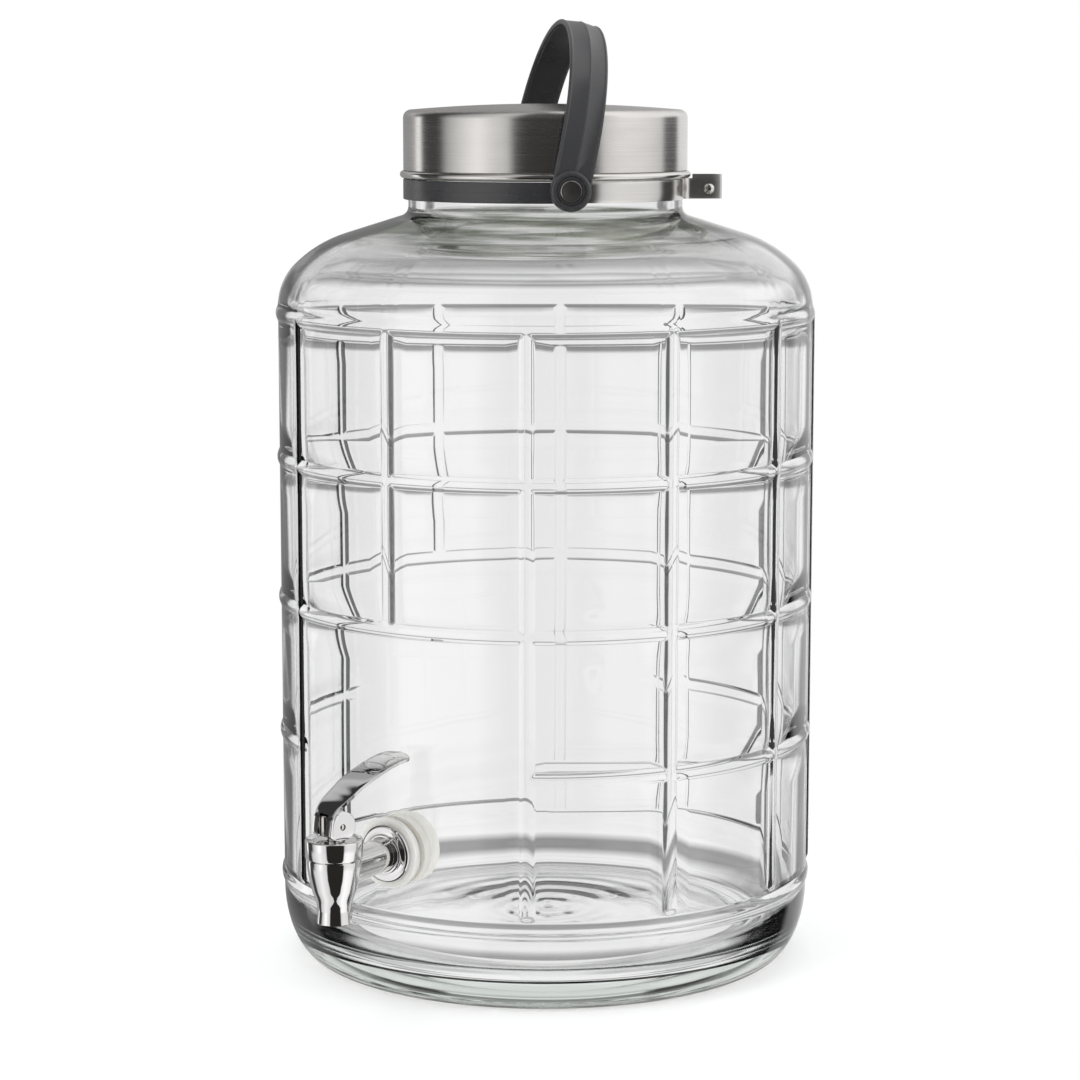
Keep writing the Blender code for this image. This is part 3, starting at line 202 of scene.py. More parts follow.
# Handle
PIVOT_AZIMUTH = 8.4
BAIL_LEAN = 11.5
BAIL_INNER = 0.07834
BAIL_LEG_RISE = 0.02
BAIL_STEPS = 64
STRAP_THICKNESS = 0.0033
STRAP_HALF_WIDTH = 0.0092
BOSS_RADIUS = 0.0097
BOSS_ROUND = 0.0018
BOSS_ROOM = 0.0085
BOSS_ROOM_DEPTH = 0.012
BOSS_CORE_RADIUS = 0.0072
BOSS_BORE = 0.0025
BOSS_WELL_RADIUS = 0.0055
BOSS_WELL_DEPTH = 0.0016
BOSS_FACE = 0.08283
BOSS_ROOT = 0.0724
BUTTON_RADIUS = 0.0052
BUTTON_START = 0.08174
BUTTON_THICKNESS = 0.0013
BUTTON_DISH_RADIUS = 0.0042
BUTTON_DISH = 0.0003

# Tap
SPIGOT_DISTANCE = 0.1747
TAP_SEAM_RADIUS = 0.0126
TAP_SHAPE = (
    (0.01248, 0.88), (0.01212, 0.78), (0.01162, 0.69), (0.01102, 0.6), (0.01026, 0.5),
    (0.00955, 0.43), (0.0090, 0.38), (0.00852, 0.33), (0.00815, 0.27), (0.0079, 0.18),
)
TAP_NECK_RADIUS = 0.0103
TAP_NECK_RISE = 0.0053
NOZZLE_RADIUS = 0.0083
NOZZLE_BORE = 0.0055
NOZZLE_BORE_DEPTH = 0.0185
COLLAR_RADIUS = 0.01335
COLLAR_BORE = 0.0106
COLLAR_CEILING = 0.0026
COLLAR_DISH = 0.0008
STEM_PASS = 0.0034
BARREL_RADIUS = 0.0081
BARREL_END = SPIGOT_DISTANCE - 0.006
FLANGE_START = 0.1346
FLANGE_RADIUS = 0.0138
FLANGE_THICKNESS = 0.0022
FLANGE_STEP_RADIUS = 0.0091
FLANGE_STEP = 0.0014
SHANK_RADIUS = 0.0075
SHANK_BORE = 0.0045
SHANK_END = 0.1133
SEAL_BORE = 0.0078
SEAL_RADIUS = 0.017
SEAL_RELIEF = 0.0012
INNER_SEAL_THICKNESS = 0.0055

# Lever
LEVER_HEADING = 38
LEVER_REACH = 0.0405
LEVER_RISE = 0.0289
LEVER_HALF_WIDTH = 0.0076
TIP_LENGTH = LEVER_HALF_WIDTH * 0.55
BLADE_SHARES = (
    (-0.165, -0.12), (-0.15, 0.13), (-0.075, 0.33), (0.05, 0.47), (0.126, 0.545),
    (0.28, 0.69), (0.57, 0.872), (0.78, 0.965), (0.955, 0.998),
)
BLADE_THICKNESS = 0.003
BLADE_FLARE = 0.26
BLADE_FLARE_END = 0.6
BLADE_TAPER = 0.12
CHEEK_RADIUS = 0.0072
CAM_HEIGHT = 0.0062
CAM_RATE = 0.0019
CAM_ANGLE = 50
SLOT_HALF_WIDTH = 0.0033
SLOT_RADIUS = 0.0049
LEVER_PIN_RADIUS = 0.0012
LEVER_PIN_BORE = 0.0015

# Cup under the stem
CUP_BOTTOM, CUP_TOP = limits("seat_cup", Z)
CUP_RIM_RADIUS = half_width("seat_cup")
CUP_FLOOR = 0.001
CUP_POCKET_RADIUS = 0.0047
CUP_POCKET_DEPTH = 0.0051
CUP_LIP = 0.0013
CUP_LIP_RADIUS = 0.0033
CUP_INNER = 0.0055
CUP_OUTER = 0.0069
CUP_PLUG_RADIUS = 0.0072
CUP_RIM = 0.0009
CUP_BELL_SHARE = 0.68

# Studio
STEEL = (0.70, 0.68, 0.66)
FLOOR_RADIUS = 0.36
STRIP_AZIMUTH = 8.5
STRIP_HALF_WIDTH = 36
AMBIENT = (0.78, 0.79, 0.8, 1)
LIT_THROUGH_GLASS = (2.0, 2.0, 1.96, 1)
LAMP_TARGET = Vector((0, 0, 0.2))
CAMERA_PLACE = (-0.0026, JAR_Y - 1.5375, 0.4323)
CAMERA_DIP = 8.327
FOCAL_LENGTH = 103.62


# Working by hand: a line is drawn point by point, then spun or pulled along

def pick(piece):
    """Selects this piece alone, so that the next step works on nothing else."""
    bpy.ops.object.select_all(action="DESELECT")
    piece.select_set(True)
    bpy.context.view_layer.objects.active = piece


def pull(step):
    """Pulls what is selected on by a step."""
    bpy.ops.mesh.extrude_region_move(TRANSFORM_OT_translate={"value": step})


def drawn(name, points):
    """A new piece in edit mode: one point, pulled on along a line that is then selected."""
    bpy.ops.object.select_all(action="DESELECT")
    bpy.ops.mesh.primitive_plane_add(size=GAP, location=points[0])
    piece = bpy.context.object
    piece.name = piece.data.name = name
    bpy.ops.object.mode_set(mode="EDIT")
    bpy.ops.mesh.select_all(action="SELECT")
    bpy.ops.mesh.merge(type="CENTER")
    for before, after in zip(points, points[1:]):
        pull(Vector(after) - Vector(before))
    bpy.ops.mesh.select_all(action="SELECT")
    return piece


def close_shell():
    """Merges the doubles of the piece in edit mode and turns its faces outwards."""
    bpy.ops.mesh.select_all(action="SELECT")
    bpy.ops.mesh.remove_doubles(threshold=WELD)
    bpy.ops.mesh.normals_make_consistent(inside=False)
    bpy.ops.object.mode_set(mode="OBJECT")


def spin(steps, degrees):
    """Spins the selected line round Z."""
    bpy.ops.mesh.spin(
        steps=steps, angle=math.radians(degrees), center=(0, 0, 0), axis=(0, 0, 1)
    )


def settle(piece, matrix=None):
    """Puts the piece's place into its mesh."""
    pick(piece)
    bpy.ops.object.transform_apply(location=True, rotation=True, scale=True)
    if matrix is not None:
        piece.matrix_world = matrix
        bpy.ops.object.transform_apply(location=True, rotation=True, scale=True)


def drum(radius, depth, matrix=None, vertices=PIN_FACETS, **place):
    """A plain cylinder to start from or to cut with."""
    bpy.ops.object.select_all(action="DESELECT")
    bpy.ops.mesh.primitive_cylinder_add(vertices=vertices, radius=radius, depth=depth, **place)
    piece = bpy.context.object
    if matrix is not None:
        settle(piece, matrix)
    return piece


def spun(name, outline, facets, matrix, closed=False):
    """A turned piece: its outline of radius and height is drawn and spun round Z."""
    line = [(radius, 0, height) for radius, height in outline]
    if closed:
        line.append(line[0])
    piece = drawn(name, line)
    spin(facets, 360)
    close_shell()
    settle(piece, matrix)
    return piece


def swept(name, section, stations, matrix):
    """A bar whose section, drawn in the XY plane, is pulled on from station to station.

    A station gives x, z, the turn round Y and the stretch across and through the section.
    """
    piece = drawn(name, [(*point, 0) for point in section])
    bpy.ops.mesh.edge_face_add()
    here = Vector((0, 0, 0))
    turn, wide, thick = 0.0, 1.0, 1.0
    for number, (x, z, new_turn, new_wide, new_thick) in enumerate(stations):
        place = Vector((x, 0, z))
        if number:
            pull(place - here)
        else:
            bpy.ops.transform.translate(value=place - here)
        bpy.ops.transform.rotate(
            value=turn - new_turn, orient_axis="Y", center_override=place
        )
        axes = Matrix.Rotation(new_turn, 3, "Y")
        bpy.ops.transform.resize(
            value=(new_thick / thick, new_wide / wide, 1),
            orient_type="GLOBAL",
            orient_matrix=axes,
            orient_matrix_type="GLOBAL",
            center_override=place,
        )
        here, turn, wide, thick = place, new_turn, new_wide, new_thick
    close_shell()
    settle(piece, matrix)
    return piece


def slab(name, outline, half, matrix):
    """A flat outline in the XZ plane, filled and pulled to an even thickness along Y."""
    piece = drawn(name, [(x, -half, z) for x, z in outline])
    bpy.ops.mesh.edge_face_add()
    pull((0, 2 * half, 0))
    close_shell()
    settle(piece, matrix)
    return piece


def apply_modifier(piece, kind, **settings):
    """Works a modifier into the mesh."""
    modifier = piece.modifiers.new("step", kind)
    for name, value in settings.items():
        setattr(modifier, name, value)
    pick(piece)
    bpy.ops.object.modifier_apply(modifier=modifier.name)


def cut(piece, tool, operation="DIFFERENCE"):
    """Cuts one piece with another, or joins them, and takes the tool away."""
    apply_modifier(piece, "BOOLEAN", operation=operation, object=tool, solver="EXACT")
    bpy.data.objects.remove(tool, do_unlink=True)


def soften(piece, width, segments=2, angle=40):
    """Rounds the piece's edges that turn more sharply than an angle."""
    apply_modifier(
        piece, "BEVEL", width=width, segments=segments, limit_method="ANGLE",
        angle_limit=math.radians(angle), harden_normals=False,
    )


def fit(piece, material, body, node, angle=35):
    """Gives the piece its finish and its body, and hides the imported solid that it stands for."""
    piece.data.materials.clear()
    piece.data.materials.append(material)
    pick(piece)
    bpy.ops.object.shade_smooth_by_angle(angle=math.radians(angle))
    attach(piece, body)
    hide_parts(node)


# Outlines

def arc(centre, radius, start, end, steps):
    """Points on an arc of a flat outline, with its angles in degrees."""
    points = []
    for step in range(steps + 1):
        angle = math.radians(start + (end - start) * step / steps)
        points.append(
            (centre[0] + radius * math.cos(angle), centre[1] + radius * math.sin(angle))
        )
    return points


def rounded(line, radii, steps=5):
    """An open line with some of its corners turned into arcs, by corner index."""
    points = [line[0]]
    for index in range(1, len(line) - 1):
        corner = Vector(line[index])
        radius = radii.get(index)
        if radius is None:
            points.append(tuple(corner))
            continue
        back = (Vector(line[index - 1]) - corner).normalized()
        ahead = (Vector(line[index + 1]) - corner).normalized()
        half = back.angle(ahead) / 2
        tangent = radius / math.tan(half)
        centre = corner + (back + ahead).normalized() * radius / math.sin(half)
        first = corner + back * tangent - centre
        last = corner + ahead * tangent - centre
        sweep = -first.angle_signed(last)
        for step in range(steps + 1):
            turn = Matrix.Rotation(sweep * step / steps, 2)
            points.append(tuple(centre + turn @ first))
    points.append(line[-1])
    return points


def smooth_line(points, steps):
    """A smooth line through all the points, with even steps from each to the next."""
    line = []
    for index in range(len(points) - 1):
        window = [
            Vector(points[min(max(index + offset, 0), len(points) - 1)])
            for offset in (-1, 0, 1, 2)
        ]
        for step in range(steps):
            share = step / steps
            blend = (
                -share ** 3 + 2 * share ** 2 - share,
                3 * share ** 3 - 5 * share ** 2 + 2,
                -3 * share ** 3 + 4 * share ** 2 + share,
                share ** 3 - share ** 2,
            )
            total = Vector((0,) * len(points[0]))
            for weight, point in zip(blend, window):
                total += point * weight / 2
            line.append(tuple(total))
    line.append(tuple(points[-1]))
    return line


def ease(share):
    """A smooth step from 0 to 1."""
    share = min(max(share, 0.0), 1.0)
    return share * share * (3 - 2 * share)


def radial_frame(azimuth, height):
    """A frame on the jar's axis: Z points out along the azimuth and Y points up."""
    angle = math.radians(azimuth)
    out = Vector((math.sin(angle), -math.cos(angle), 0))
    side = Vector((math.cos(angle), math.sin(angle), 0))
    turn = Matrix((side, Vector((0, 0, 1)), out)).transposed().to_4x4()
    return Matrix.Translation((0, JAR_Y, height)) @ turn


def at_azimuth(azimuth):
    """A turn round the jar's axis that brings +X to an azimuth."""
    return ON_JAR @ Matrix.Rotation(math.radians(azimuth - 90), 4, "Z")


ON_JAR = Matrix.Translation(ON_AXIS)
ON_SPIGOT = Matrix.Translation((SPIGOT_X, SPIGOT_Y, 0))
ON_BARREL = radial_frame(SPIGOT_AZIMUTH, SPIGOT_HEIGHT)
ON_LEVER = (
    Matrix.Translation((SPIGOT_X, SPIGOT_Y, LEVER_PIVOT_HEIGHT))
    @ Matrix.Rotation(math.radians(LEVER_HEADING), 4, "Z")
)
ON_BAIL = (
    Matrix.Translation((0, JAR_Y, PIVOT_HEIGHT))
    @ Matrix.Rotation(math.radians(PIVOT_AZIMUTH - 90), 4, "Z")
    @ Matrix.Rotation(math.radians(-BAIL_LEAN), 4, "X")
)


# Finishes

def connect(tree, node, sockets):
    """Gives a node's sockets their values, or links them to the outputs of other nodes."""
    for socket, value in sockets.items():
        if isinstance(value, bpy.types.NodeSocket):
            tree.links.new(value, node.inputs[socket])
        else:
            node.inputs[socket].default_value = value


def add(tree, kind, sockets, output=0, **settings):
    """A new shader node with its settings and sockets; gives one of its outputs."""
    node = tree.nodes.new("ShaderNode" + kind)
    for name, value in settings.items():
        setattr(node, name, value)
    connect(tree, node, sockets)
    return node.outputs[output]


def new_finish(name, colour, roughness, **fixed):
    """A Principled material with its steady values set; gives it with its tree and shader."""
    material = bpy.data.materials.new(name)
    material.use_nodes = True
    tree = material.node_tree
    shader = tree.nodes["Principled BSDF"]
    connect(tree, shader, {"Base Color": (*colour, 1), "Roughness": roughness})
    connect(tree, shader, {socket.replace("_", " "): fixed[socket] for socket in fixed})
    return material, tree, shader


def own_place(tree):
    """The piece's own coordinates, which it keeps in every pose."""
    return add(tree, "TexCoord", {}, "Object")


def along(tree, axis):
    """One of the piece's own coordinates."""
    return add(tree, "SeparateXYZ", {0: own_place(tree)}, axis)


def placed(tree, size, centre, turn):
    """The piece's own coordinates round a centre, turned and measured in a size."""
    sockets = {"Vector": own_place(tree), "Location": centre, "Rotation": turn, "Scale": size}
    return add(tree, "Mapping", sockets, vector_type="TEXTURE")


def pattern(tree, size, detail=2.0, centre=(0, 0, 0)):
    """Noise whose blotches have a size along each axis."""
    place = placed(tree, size, centre, (0, 0, 0))
    return add(tree, "TexNoise", {"Vector": place, "Scale": 1.0, "Detail": detail}, "Fac")


def ringed(tree, centre, turn, pitch):
    """Fine rings round an axis, as a turning tool leaves them."""
    place = placed(tree, (pitch, pitch, 1), centre, turn)
    flat = add(tree, "VectorMath", {0: place, 1: (1, 1, 0)}, operation="MULTIPLY")
    reach = add(tree, "VectorMath", {0: flat}, "Value", operation="LENGTH")
    sockets = {"W": reach, "Scale": 1.0, "Detail": 3.0}
    return add(tree, "TexNoise", sockets, "Fac", noise_dimensions="1D")


def spread(tree, source, low, high, start=0.3, end=0.7):
    """A value carried over from the range start to end to the range low to high."""
    return add(tree, "MapRange", {
        "Value": source, "From Min": start, "From Max": end, "To Min": low, "To Max": high,
    })


def reckon(tree, operation, first, second=0.0):
    """One step of arithmetic on values."""
    return add(tree, "Math", {0: first, 1: second}, operation=operation)


def choose(tree, share, first, second):
    """The first colour, which turns into the second as a share goes from 0 to 1."""
    return add(tree, "Mix", {0: share, 6: first, 7: second}, 2, data_type="RGBA")


def tint(tree, source, dark, light, start=0.3, end=0.7):
    """A colour that wanders between two with a source."""
    share = spread(tree, source, 0, 1, start, end)
    return choose(tree, share, (*dark, 1), (*light, 1))


def bumps(tree, source, depth):
    """Bumps on the surface, as high as a depth."""
    return add(tree, "Bump", {"Height": source, "Distance": depth})


def make_glass():
    """Clear soda-lime glass: moulding waves, faint smears, a stippled foot, and a painted shade of
    dark olive round the neck's foot.
    """
    material, tree, shader = new_finish(
        "clear_glass", (1, 1, 1), 0.0, Transmission_Weight=1.0, IOR=1.5
    )
    height = along(tree, "Z")
    smears = spread(tree, pattern(tree, (0.05, 0.05, 0.02), 4.0), 0.0, 0.02, 0.45, 0.8)
    stipple = spread(tree, height, 0.14, 0.0, FOOT_STIPPLE, FOOT_STIPPLE * 1.3)
    foot = cone_point(NECK_RADIUS)[1]
    # Painted shade: under, over and streaks make a streaked band round the neck's foot, and thick is
    # its share, not a thickness of glass. The base colour turns dark olive there for the dark ring
    # that refraction shows.
    under = spread(tree, height, 0, 1, foot - NECK_PAINTED_SHADE_DEPTH, foot - NECK_PAINTED_SHADE_FADE)
    over = spread(tree, height, 1, 0, foot + 0.001, foot + 0.003)
    streaks = spread(tree, pattern(tree, (0.05, 0.05, 0.003)), 0.3, 1.0, 0.42, 0.58)
    thick = reckon(tree, "MULTIPLY", reckon(tree, "MULTIPLY", over, under), streaks)
    connect(tree, shader, {
        "Roughness": reckon(tree, "MAXIMUM", smears, stipple),
        "Base Color": tint(tree, thick, (1, 1, 1), NECK_PAINTED_SHADE, 0, 1),
        "Normal": bumps(tree, pattern(tree, (0.045, 0.045, 0.11), 0.0), 0.0005),
    })
    depth = add(tree, "VolumeAbsorption", {"Color": (0.73, 0.80, 0.75, 1), "Density": 3.2})
    connect(tree, tree.nodes["Material Output"], {"Volume": depth})
    return material


def make_brushed_steel():
    """Stainless sheet with fine brushing round the side and across the top."""
    material, tree, shader = new_finish(
        "brushed_steel", STEEL, 0.26, Metallic=1.0, Anisotropic=0.85
    )
    top = spread(
        tree, along(tree, "Z"), 0, 1, LID_TOP - LID_ROUND * 0.4, LID_TOP - LID_ROUND * 0.1
    )
    grain = pattern(tree, (0.09, 0.09, 0.0004), 4.0, ON_AXIS)
    across = pattern(tree, (0.09, 0.00025, 0.09), 3.0, ON_AXIS)
    lines = add(tree, "Mix", {0: top, 2: grain, 3: across}, data_type="FLOAT")
    worn = tint(tree, lines, (0.68, 0.655, 0.635), (0.74, 0.72, 0.70))
    smears = tint(tree, pattern(tree, (0.03, 0.03, 0.012), 3.0), (0.92, 0.92, 0.92), (1, 1, 1))
    shade = add(
        tree, "Mix", {0: 1.0, 6: worn, 7: smears}, 2, data_type="RGBA", blend_type="MULTIPLY"
    )
    ways = {0: top, 4: (0, 0, 1), 5: (0, 1, 0)}
    connect(tree, shader, {
        "Tangent": add(tree, "Mix", ways, 1, data_type="VECTOR"),
        "Roughness": spread(tree, lines, 0.23, 0.28),
        "Base Color": shade,
        "Normal": bumps(tree, lines, 0.000006),
    })
    return material


def make_polished_steel():
    """Polished stainless steel with faint handling marks."""
    material, tree, shader = new_finish("polished_steel", STEEL, 0.12, Metallic=1.0)
    connect(tree, shader, {
        "Roughness": spread(tree, pattern(tree, (0.006, 0.006, 0.004), 4.0), 0.08, 0.2),
        "Normal": bumps(tree, pattern(tree, (0.02, 0.02, 0.0003), 3.0, ON_AXIS), 0.000008),
    })
    return material


def make_band_steel():
    """Polished sheet that turns duller on the bent ears, with fine lines along the strip."""
    material, tree, shader = new_finish("band_steel", STEEL, 0.16, Metallic=1.0)
    grain = pattern(tree, (0.03, 0.03, 0.0004), 3.0, ON_AXIS)
    bend = (BAND_INNER, BAND_INNER + EAR_BEND)
    connect(tree, shader, {
        "Roughness": spread(tree, along(tree, "X"), 0.15, 0.36, *bend),
        "Base Color": tint(tree, grain, (0.68, 0.66, 0.64), (0.72, 0.70, 0.68)),
        "Normal": bumps(tree, grain, 0.000006),
    })
    return material


def make_chrome():
    """Mirror chrome plate, with a little orange peel and fingerprints."""
    material, tree, shader = new_finish("chrome", (0.80, 0.79, 0.79), 0.03, Metallic=1.0)
    prints = pattern(tree, (0.008, 0.008, 0.008), 5.0)
    connect(tree, shader, {
        "Roughness": spread(tree, prints, 0.015, 0.07, 0.4, 0.75),
        "Normal": bumps(tree, pattern(tree, (0.002, 0.002, 0.002), 1.0), 0.000006),
    })
    return material


def make_spun_steel():
    """Dark spun steel with turning rings round each pivot's axis."""
    material, tree, shader = new_finish("spun_steel", (0.42, 0.40, 0.39), 0.25, Metallic=1.0)
    turn = ON_BAIL.to_3x3() @ Matrix.Rotation(math.radians(90), 3, "Y")
    rings = ringed(tree, (0, JAR_Y, PIVOT_HEIGHT), turn.to_euler(), 0.00025)
    connect(tree, shader, {
        "Roughness": spread(tree, rings, 0.18, 0.36),
        "Normal": bumps(tree, rings, 0.00003),
    })
    return material


def make_moulded(name, colour, tones, gloss, flow, grain, depth, **fixed):
    """A moulded finish whose tone and gloss wander with the flow, over a fine grain."""
    material, tree, shader = new_finish(name, colour, sum(gloss) / 2, **fixed)
    wander = pattern(tree, flow, 3.0)
    connect(tree, shader, {
        "Base Color": tint(tree, wander, *tones),
        "Roughness": spread(tree, wander, *gloss),
        "Normal": bumps(tree, pattern(tree, (grain, grain, grain)), depth),
    })
    return material


# Jar

def shoulder_line(inset=0):
    """The shoulder's two arcs and its cone, from the wall up to the neck."""
    corner = (BODY_RADIUS - CORNER_RADIUS, SHOULDER_START)
    shift = (CORNER_RADIUS - CROWN_RADIUS) * math.cos(math.radians(CROWN_START_ANGLE))
    rise = (CORNER_RADIUS - CROWN_RADIUS) * math.sin(math.radians(CROWN_START_ANGLE))
    crown = (corner[0] + shift, corner[1] + rise)
    lower = arc(corner, CORNER_RADIUS - inset, 0, CROWN_START_ANGLE, 12)
    upper = arc(crown, CROWN_RADIUS - inset, CROWN_START_ANGLE, 90 - CONE_SLOPE, 8)
    return lower + upper[1:]


def cone_point(radius, inset=0):
    """The point of the shoulder's cone at a radius."""
    start = shoulder_line(inset)[-1]
    return (radius, start[1] + (start[0] - radius) * math.tan(math.radians(CONE_SLOPE)))


def wall_heights():
    """Heights of the rows on the outer wall, close together where the beads are."""
    heights = set()
    for ring in RING_HEIGHTS:
        for step in range(-6, 7):
            heights.add(round(ring + BEAD_HALF_WIDTH * step / 6, 6))
    for step in range(1, 8):
        heights.add(round(RING_HEIGHTS[4] + BEAD_HALF_WIDTH + 0.001 * step, 6))
    for upper, lower in zip(RING_HEIGHTS, RING_HEIGHTS[1:]):
        for step in range(1, 4):
            heights.add(round(lower + (upper - lower) * step / 4, 6))
    return sorted((h for h in heights if HEEL_HEIGHT < h < SHOULDER_START), reverse=True)


def floor_height(radius):
    """The inner floor, lowest at the rim, with the mould's ripples round the middle."""
    share = radius / (BODY_RADIUS - WALL - FLOOR_CORNER)
    ripple = math.cos(math.tau * radius / RIPPLE_LENGTH) * math.exp(-(radius / RIPPLE_REACH) ** 2)
    return FLOOR_CENTRE + (FLOOR_RIM - FLOOR_CENTRE) * share ** 2 + RIPPLE * ripple * (1 - share)


def jar_line():
    """From the middle of the inner floor, up inside, over the lip and down outside."""
    inner = BODY_RADIUS - WALL
    rim = inner - FLOOR_CORNER
    radii = [rim * step / FLOOR_STEPS for step in range(FLOOR_STEPS)]
    line = [(radius, floor_height(radius)) for radius in radii]
    line += arc((rim, FLOOR_RIM + FLOOR_CORNER), FLOOR_CORNER, -90, 0, 12)
    line += [(inner, height) for height in (0.1, 0.18, 0.25)]
    line += shoulder_line(WALL)
    mouth = cone_point(MOUTH_RADIUS, WALL)
    lip = JAR_HEIGHT - LIP_ROUND
    line += rounded([line[-1], mouth, (MOUTH_RADIUS, lip)], {1: MOUTH_FILLET})[1:-1]
    line += arc((MOUTH_RADIUS + LIP_ROUND, lip), LIP_ROUND, 180, 90, 5)
    line += arc((FINISH_RADIUS - LIP_ROUND, lip), LIP_ROUND, 90, 0, 5)
    top, low = lip - 0.002, BAND_TOP + 0.003
    for step in range(THREAD_STEPS + 1):
        line.append((FINISH_RADIUS, top + (low - top) * step / THREAD_STEPS))
    line += rounded(
        [line[-1], (FINISH_RADIUS, BAND_TOP + 0.002), (NECK_RADIUS, BAND_TOP),
         (NECK_RADIUS, BAND_TOP - 0.003)],
        {1: LEDGE_ROUND, 2: LEDGE_ROUND},
    )[1:]
    foot = cone_point(NECK_RADIUS)
    line += rounded([line[-1], foot, shoulder_line()[-1]], {1: NECK_FILLET}, 7)[1:-1]
    line += shoulder_line()[::-1]
    line += [(BODY_RADIUS, height) for height in wall_heights()]
    heel = BODY_RADIUS - HEEL_WIDTH
    for step in range(HEEL_STEPS + 1):
        angle = math.pi / 2 * step / HEEL_STEPS
        line.append((heel + HEEL_WIDTH * math.cos(angle), HEEL_HEIGHT * (1 - math.sin(angle))))
    line += rounded(
        [line[-1], (FOOT_INNER, 0), (FOOT_INNER - 0.008, PUNT_RIM), (0.05, PUNT_CENTRE - 0.001)],
        {1: FOOT_ROUND, 2: PUNT_ROUND},
    )[1:]
    line += [(0.025, PUNT_CENTRE - 0.0002), (0, PUNT_CENTRE)]
    return line


def bead(distance, half_width=BEAD_HALF_WIDTH):
    """The share of a bead's height at a distance from its middle."""
    share = abs(distance) / half_width
    return (1 - share ** 2) ** BEAD_BULGE if share < 1 else 0.0


def wrap(angle):
    """An angle between -180 and 180 degrees."""
    return (angle + 180) % 360 - 180


def grid_height(azimuth, height):
    """How far the embossed grid stands proud of the outer wall."""
    index = round((azimuth - SPIGOT_AZIMUTH) / RIB_PITCH) % RIB_COUNT
    offset = wrap(azimuth - SPIGOT_AZIMUTH - RIB_PITCH * index)
    low = RING_HEIGHTS[2] if index in SHORT_RIBS else RING_HEIGHTS[4] + RIB_END_LIFT
    rib = bead(math.radians(offset) * BODY_RADIUS) * ease((height - low) / FADE)
    if height > RING_HEIGHTS[0]:
        rib = 0.0
    ring = 0.0
    for number, level in enumerate(RING_HEIGHTS):
        share = bead(height - level)
        if number == 3 and share:
            share *= max(
                ease((azimuth - start) / SPAN_FADE + 0.5) * ease((end - azimuth) / SPAN_FADE + 0.5)
                for start, end in RING_FOUR_SPANS
            )
        ring = max(ring, share)
    return BEAD_RISE * (rib ** CROSSING_BLEND + ring ** CROSSING_BLEND) ** (1 / CROSSING_BLEND)


def thread_rise(turn, height):
    """How far the thread stands proud of the finish, at a share of a turn round the neck."""
    rise = 0.0
    for lap in range(-1, 3):
        along_thread = turn + lap
        if 0 < along_thread < THREAD_TURNS:
            level = JAR_HEIGHT - THREAD_TOP_DROP - THREAD_PITCH * along_thread
            fade = ease(along_thread / THREAD_FADE)
            fade *= ease((THREAD_TURNS - along_thread) / THREAD_FADE)
            rise = max(rise, THREAD_RISE * fade * bead(height - level, THREAD_HALF_WIDTH))
    return rise


def press_grid(jar):
    """Raises the ribs and rings out of the wall, and the thread out of the finish."""
    for vertex in jar.data.vertices:
        out = Vector((vertex.co.x, vertex.co.y - JAR_Y))
        radius, height = out.length, vertex.co.z
        azimuth = math.degrees(math.atan2(out.x, -out.y))
        if azimuth < SPIGOT_AZIMUTH - RIB_PITCH / 2:
            azimuth += 360
        rise = 0.0
        if abs(radius - BODY_RADIUS) < GAP / 2 and HEEL_HEIGHT < height < SHOULDER_START + GAP:
            rise = grid_height(azimuth, height)
        elif abs(radius - FINISH_RADIUS) < GAP / 10 and BAND_TOP + 0.002 < height:
            rise = thread_rise(azimuth / 360, height)
        if rise:
            out *= (radius + rise) / radius
            vertex.co.x, vertex.co.y = out.x, out.y + JAR_Y


def make_jar(material):
    """The jar: an outline spun in steps that are close together where the ribs stand."""
    jar = drawn("jar", [(radius, 0, height) for radius, height in jar_line()])
    for _ in range(RIB_COUNT):
        spin(RIB_COLUMNS, -RIB_ZONE)
        spin(PANEL_COLUMNS, RIB_ZONE - RIB_PITCH)
    close_shell()
    settle(jar, at_azimuth(SPIGOT_AZIMUTH - RIB_ZONE / 2))
    press_grid(jar)
    through_wall = ON_BARREL @ Matrix.Translation((0, 0, BODY_RADIUS - WALL / 2))
    cut(jar, drum(SPIGOT_HOLE_RADIUS, WALL * 4, through_wall, CUP_FACETS))
    fit(jar, material, "base", "glass_jar", angle=60)


# Lid

def lid_line(inset=0):
    """The lid's top and side, on the outside or a sheet inside it."""
    flat = LID_RADIUS - LID_ROUND
    line = []
    for step in range(10):
        share = step / 10
        line.append((flat * share, LID_TOP - inset + LID_CROWN * (1 - share ** 2)))
    line += arc((flat, LID_TOP - LID_ROUND), LID_ROUND - inset, 90, 0, 10)
    return line


